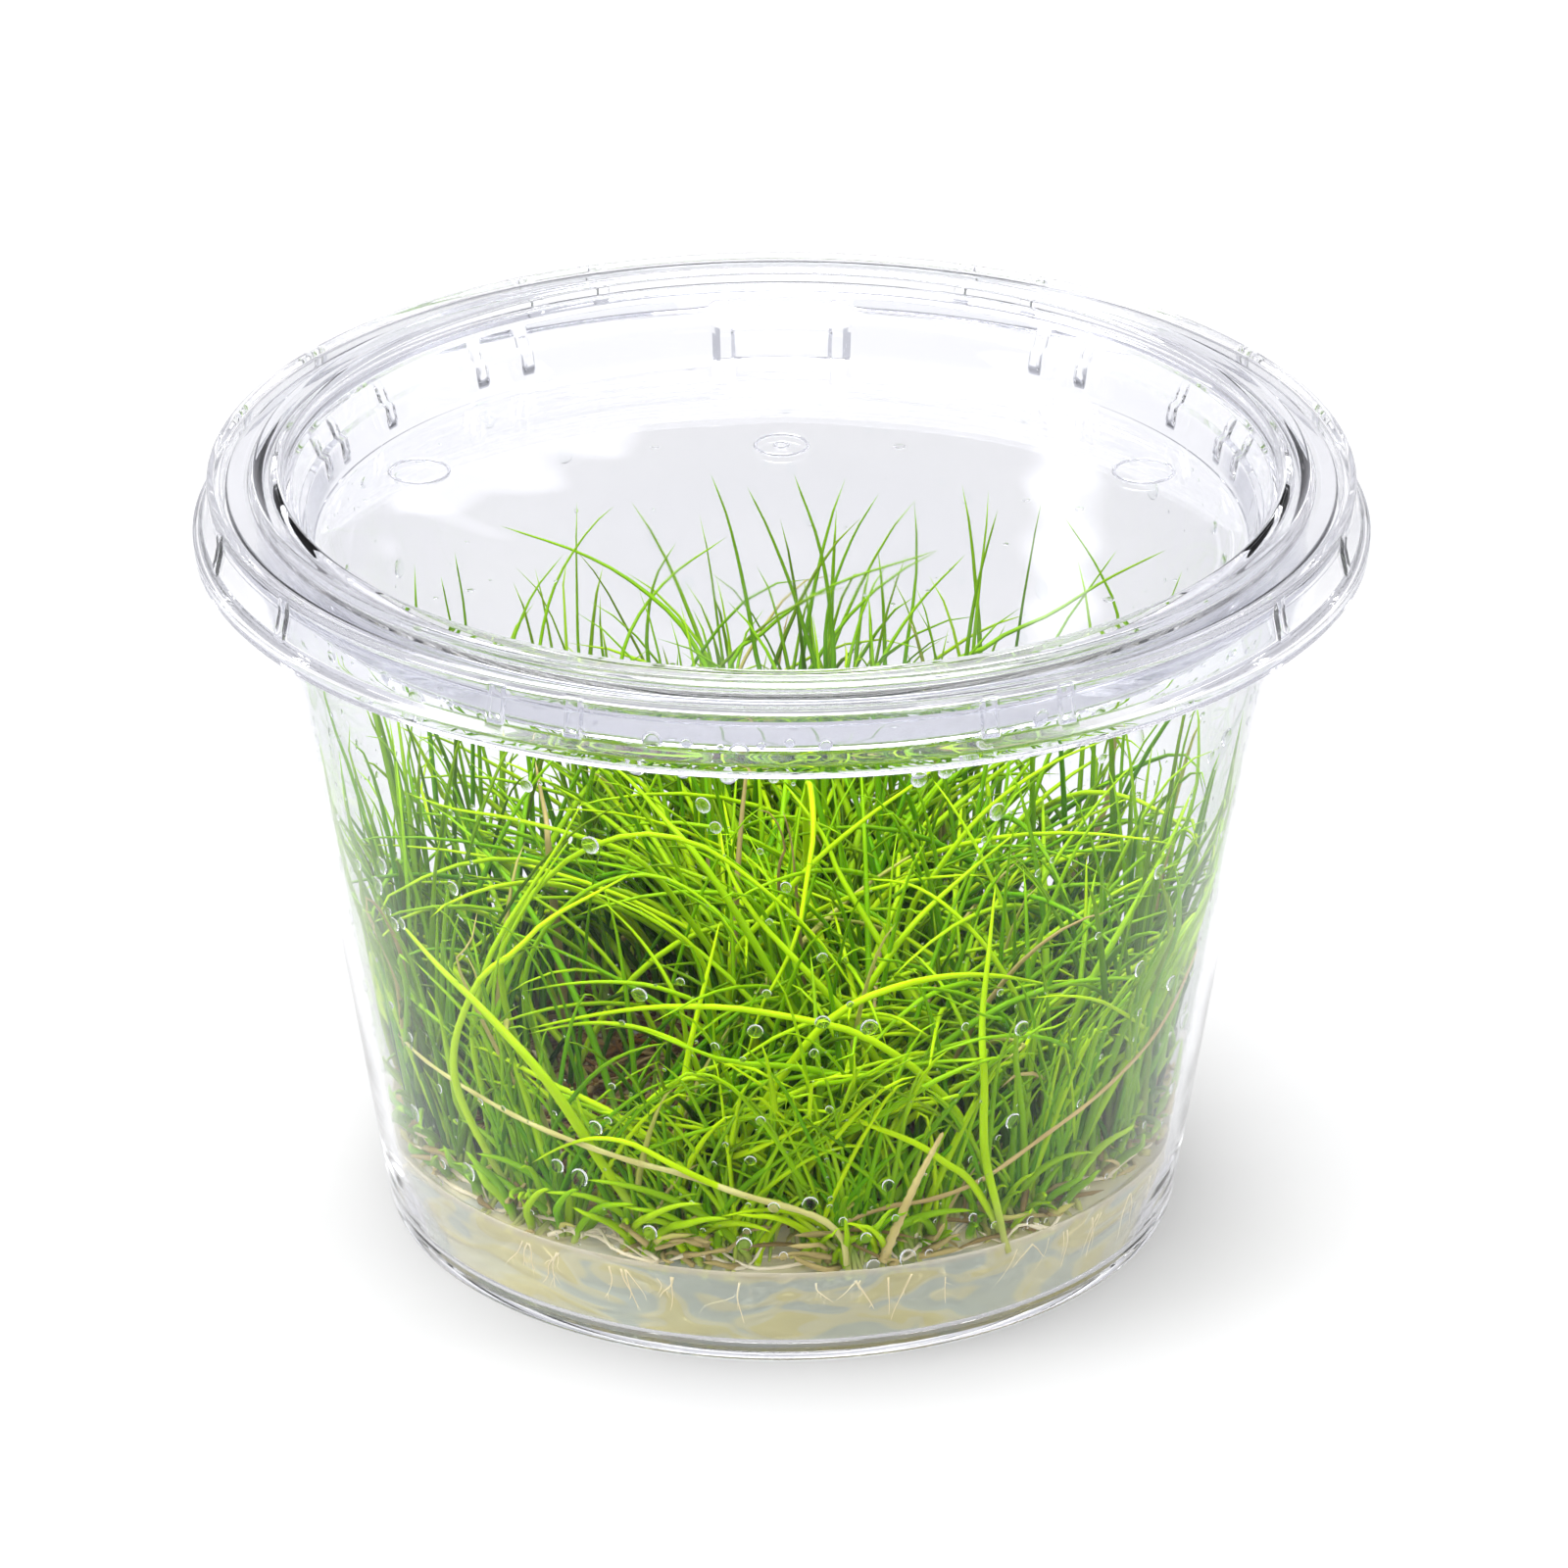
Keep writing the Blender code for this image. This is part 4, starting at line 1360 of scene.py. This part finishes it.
def addSeenLeaf(store, leaf, dry=False):
    (x, y), thick, share, seen = leaf
    points = [Vector((x, y, grass["footHeight"]))] + [seenAt(*pixel) for pixel in seen]
    path = keepInside([tuple(p) for p in smoothRoute(points, 40)])
    bends, tone = grass["seenBends"], (0.5, share) if dry else (share, 0)
    addTube(store, evenSteps(path, bends), leafRadii(1.15 * thick, bends), 6, tone, 0.85)


def makeTufts():
    rng = random.Random(grass["seed"])
    green, cream = leafMaterial(), rootMaterial()
    places = tuftPlaces()
    seenLeaves = [[] for _ in places]
    for leaf in frontLeaves + backLeaves + dryLeaves:
        foot = Vector((*leaf[0], 0))
        nearest = min(range(len(places)), key=lambda k: (places[k] - foot).length)
        seenLeaves[nearest].append(leaf)
    total = 0
    for number, place in enumerate(places, 1):
        store = newStore()
        sweep = flatHeading(rng.uniform(0, 2 * math.pi))
        outer = place.length > grass["ringRadii"][-1] - 1
        for kind, look in leafKinds.items():
            for _ in range(look["outer" if outer else "inner"]):
                growLeaf(store, place, sweep, kind, rng)
        addLitter(store, place, rng, grass["litterPerTuft"] // (3 if outer else 1))
        for leaf in seenLeaves[number - 1]:
            addSeenLeaf(store, leaf, leaf in dryLeaves)
        leafFaces = len(store["faces"])
        if outer:
            addRoots(store, place, rng, grass["rootsPerTuft"] * 2, grass["wallRoots"])
            addRhizomes(store, place, rng, grass["rhizomesPerTuft"])
        else:
            addRoots(store, place, rng, grass["rootsPerTuft"], 0)
        slots = [0] * leafFaces + [1] * (len(store["faces"]) - leafFaces)
        total += len(store["faces"])
        solid = f"hairgrass_tuft_{number:02d}"
        makePiece(f"hairgrass_{number:02d}", store, [green, cream], [solid], slots)
    print("tufts", len(places), "faces", total)


# Runners and the dead leaf, along the routes that the solids follow

runnerRoutes = {
    "runner_left": [
        (5.4, -33.2, 9.4), (5.0, -33.6, 12.2), (2.7, -33.8, 14.4), (-3.1, -33.9, 16.4),
        (-8.0, -33.1, 17.9), (-13.0, -31.6, 18.6), (-19.6, -28.3, 19.6), (-24.8, -23.8, 20.2),
        (-30.0, -16.6, 20.1), (-33.6, -8.6, 19.4),
    ],
    "runner_right": [
        (3.4, -30.2, 9.4), (5.0, -31.2, 12.2), (8.8, -30.8, 13.6), (12.6, -29.9, 13.9),
        (16.8, -28.2, 14.9), (21.8, -25.4, 17.4), (27.0, -21.0, 19.6), (32.0, -14.0, 21.9),
        (36.2, -5.4, 25.6),
    ],
    "runner_back": [
        (-7.5, 30.3, 9.4), (-6.6, 32.2, 14.0), (-3.0, 33.8, 18.6), (4.0, 34.2, 21.4),
        (12.0, 32.6, 21.0), (21.0, 27.6, 18.5), (27.4, 20.6, 14.6),
    ],
    "dead_leaf": [(8.4, -32.5, 9.4), (9.7, -32.8, 13.2), (11.3, -32.6, 17.2), (13.4, -32.0, 21.4)],
}
runnerLook = {
    "bends": 44,
    "runner_left": (0.29, 0.8),    # half thickness and freshness
    "runner_right": (0.25, 0.35),
    "runner_back": (0.32, 0.5),
    "dead_leaf": (0.46, 0.5),
}


def makeRunners():
    straw = strawMaterial()
    for name, route in runnerRoutes.items():
        thick, fresh = runnerLook[name]
        store = newStore()
        bends = runnerLook["bends"]
        taper = [1 - 0.6 * (k / bends) ** 1.5 for k in range(bends + 1)]
        radii = [thick * share * (1 + 0.12 * math.sin(k * 1.9)) for k, share in enumerate(taper)]
        addTube(store, evenSteps(smoothRoute(route, 60), bends), radii, 8, (fresh, 0.5), 0.7)
        makePiece(name + "_straw", store, [straw], [name])


# Floor and light

studio = {
    "floorSide": 6.0,
    "floorGap": 0.05 * mm,
    "paper": (0.40, 0.40, 0.41),
    "paperGrain": (0.41, 0.41, 0.41),
    # The sweep has a painted glow, a pool of light that it gives off itself on the patch in view, and a
    # darker colour beyond it: low, high and softness of the patch's sides, as tangents from flareFrom
    # behind the front, and of its ends, in metres
    "paperDarkBeyondGlow": (0.36, 0.363, 0.39),
    "paperPaintedGlow": 0.29,
    "flareFrom": 0.851,
    "glowAside": (-0.096, 0.096, 0.013),
    "glowAlong": (-0.11, 0.44, 0.04),
    "sky": (0.89, 0.895, 0.96),
    "skyStrength": 0.8,        # as the clear plastic shows it
    "skyLight": 0.1,           # as it falls on the plants and the floor
    "skyShine": 0.1,           # as the lid's flat panel mirrors it
    "boxShine": 1.6,
    # windows of the sky, as tangents of their bearing and height: low, high, softness. What the
    # panel mirrors lies in the dark one, and the strip and the swoosh in it are lit
    "darkAside": (-0.066, 0.066, 0.012),
    "darkRise": (0.372, 0.462, 0.008),
    "stripAside": (0.0318, 0.0388, 0.002),
    "stripRise": (0.36, 0.5, 0.02),
    "swooshAside": (-0.049, -0.019, 0.002),
    "swooshRise": (0.4135, 0.4205, 0.0015),
    "swooshSlant": 0.36,
    # name: place and aim in metres, width and height in metres, power in watts
    "lamps": {
        "overhead": ((-0.15, 0.10, 0.95), (0, 0, 0), (1.1, 0.9), 20.5),
        "left": ((-0.85, -0.25, 0.45), (0, 0, 0.04), (0.35, 0.9), 3.4),
        "right": ((0.85, -0.05, 0.45), (0, 0, 0.04), (0.35, 0.9), 2.8),
        "front": ((0.1, -1.1, 0.75), (0, 0, 0.03), (0.9, 0.5), 6.5),
    },
}


def addSlope(tree, value, start, end):
    values = {"Value": value, "From Min": start, "From Max": end}
    node = addNode(tree, "ShaderNodeMapRange", values, interpolation_type="SMOOTHSTEP")
    return node.outputs["Result"]


def addWindow(tree, value, low, high, soft):
    # 1 between low and high, with soft ends
    rise = addSlope(tree, value, low - soft, low + soft)
    return addMath(tree, "MULTIPLY", rise, addSlope(tree, value, high + soft, high - soft))


def addPane(tree, across, width, up, height):
    # 1 inside a window both ways
    return addMath(tree, "MULTIPLY", addWindow(tree, across, *width), addWindow(tree, up, *height))


def lightSky(tree):
    # One sky for what the clear plastic bends, one for mirror images, and one that lights things
    tree.nodes.clear()
    bearing = addNode(tree, "ShaderNodeTexCoord").outputs["Generated"]
    axes = addNode(tree, "ShaderNodeSeparateXYZ", {0: bearing})
    ahead = addMath(tree, "MAXIMUM", axes.outputs["Y"], 0.001)
    aside = addMath(tree, "DIVIDE", axes.outputs["X"], ahead)
    rise = addMath(tree, "DIVIDE", axes.outputs["Z"], ahead)
    slant = addMath(tree, "MULTIPLY_ADD", aside, studio["swooshSlant"], rise)
    strip = addPane(tree, aside, studio["stripAside"], rise, studio["stripRise"])
    swoosh = addPane(tree, aside, studio["swooshAside"], slant, studio["swooshRise"])
    boxes = addMath(tree, "ADD", strip, swoosh)
    dark = addPane(tree, aside, studio["darkAside"], rise, studio["darkRise"])
    dim = addRange(tree, dark, 0, 1, studio["skyStrength"], studio["skyShine"])
    mirrored = addMath(tree, "MULTIPLY_ADD", boxes, studio["boxShine"], dim)
    skies = []
    for strength in (studio["skyStrength"], mirrored, studio["skyLight"]):
        values = {"Color": (*studio["sky"], 1), "Strength": strength}
        skies.append(addNode(tree, "ShaderNodeBackground", values).outputs[0])
    rays = addNode(tree, "ShaderNodeLightPath").outputs
    seen = addNode(tree, "ShaderNodeMixShader", {0: rays["Is Glossy Ray"], 1: skies[0], 2: skies[1]})
    shares = {0: rays["Is Diffuse Ray"], 1: seen.outputs[0], 2: skies[2]}
    mix = addNode(tree, "ShaderNodeMixShader", shares)
    addNode(tree, "ShaderNodeOutputWorld", {"Surface": mix.outputs[0]})


def makeStudio():
    side = studio["floorSide"] / 2
    mesh = bpy.data.meshes.new("floor")
    corners = [(-side, -side, 0), (side, -side, 0), (side, side, 0), (-side, side, 0)]
    mesh.from_pydata(corners, [], [(0, 1, 2, 3)])
    mesh.materials.append(floorMaterial())
    floor = bpy.data.objects.new("floor", mesh)
    floor.location.z = -studio["floorGap"]
    scene.collection.objects.link(floor)
    world = bpy.data.worlds.new("studio")
    scene.world = world
    world.use_nodes = True
    lightSky(world.node_tree)
    world.cycles.sampling_method = "NONE"
    for name, (place, aim, size, power) in studio["lamps"].items():
        light = bpy.data.lights.new(name, "AREA")
        light.shape = "RECTANGLE"
        light.size, light.size_y = size
        light.energy = power
        lamp = bpy.data.objects.new(name, light)
        lamp.location = place
        lamp.rotation_euler = (Vector(aim) - Vector(place)).to_track_quat("-Z", "Y").to_euler()
        scene.collection.objects.link(lamp)


def setRender():
    # Enough bounces for light to cross both walls, the jelly and the dew
    scene.view_settings.view_transform = "Standard"
    cycles = scene.cycles
    cycles.max_bounces = 48
    cycles.diffuse_bounces = 1
    cycles.glossy_bounces = 32
    cycles.transmission_bounces = 36
    cycles.transparent_max_bounces = 8
    cycles.use_light_tree = False
    cycles.debug_use_spatial_splits = True


addCamera()
makeStudio()
setRender()
makeCup()
makeLid()
print("cup and lid made")
makeJelly()
makeTufts()
makeDew()
makeRunners()
print("plants made")
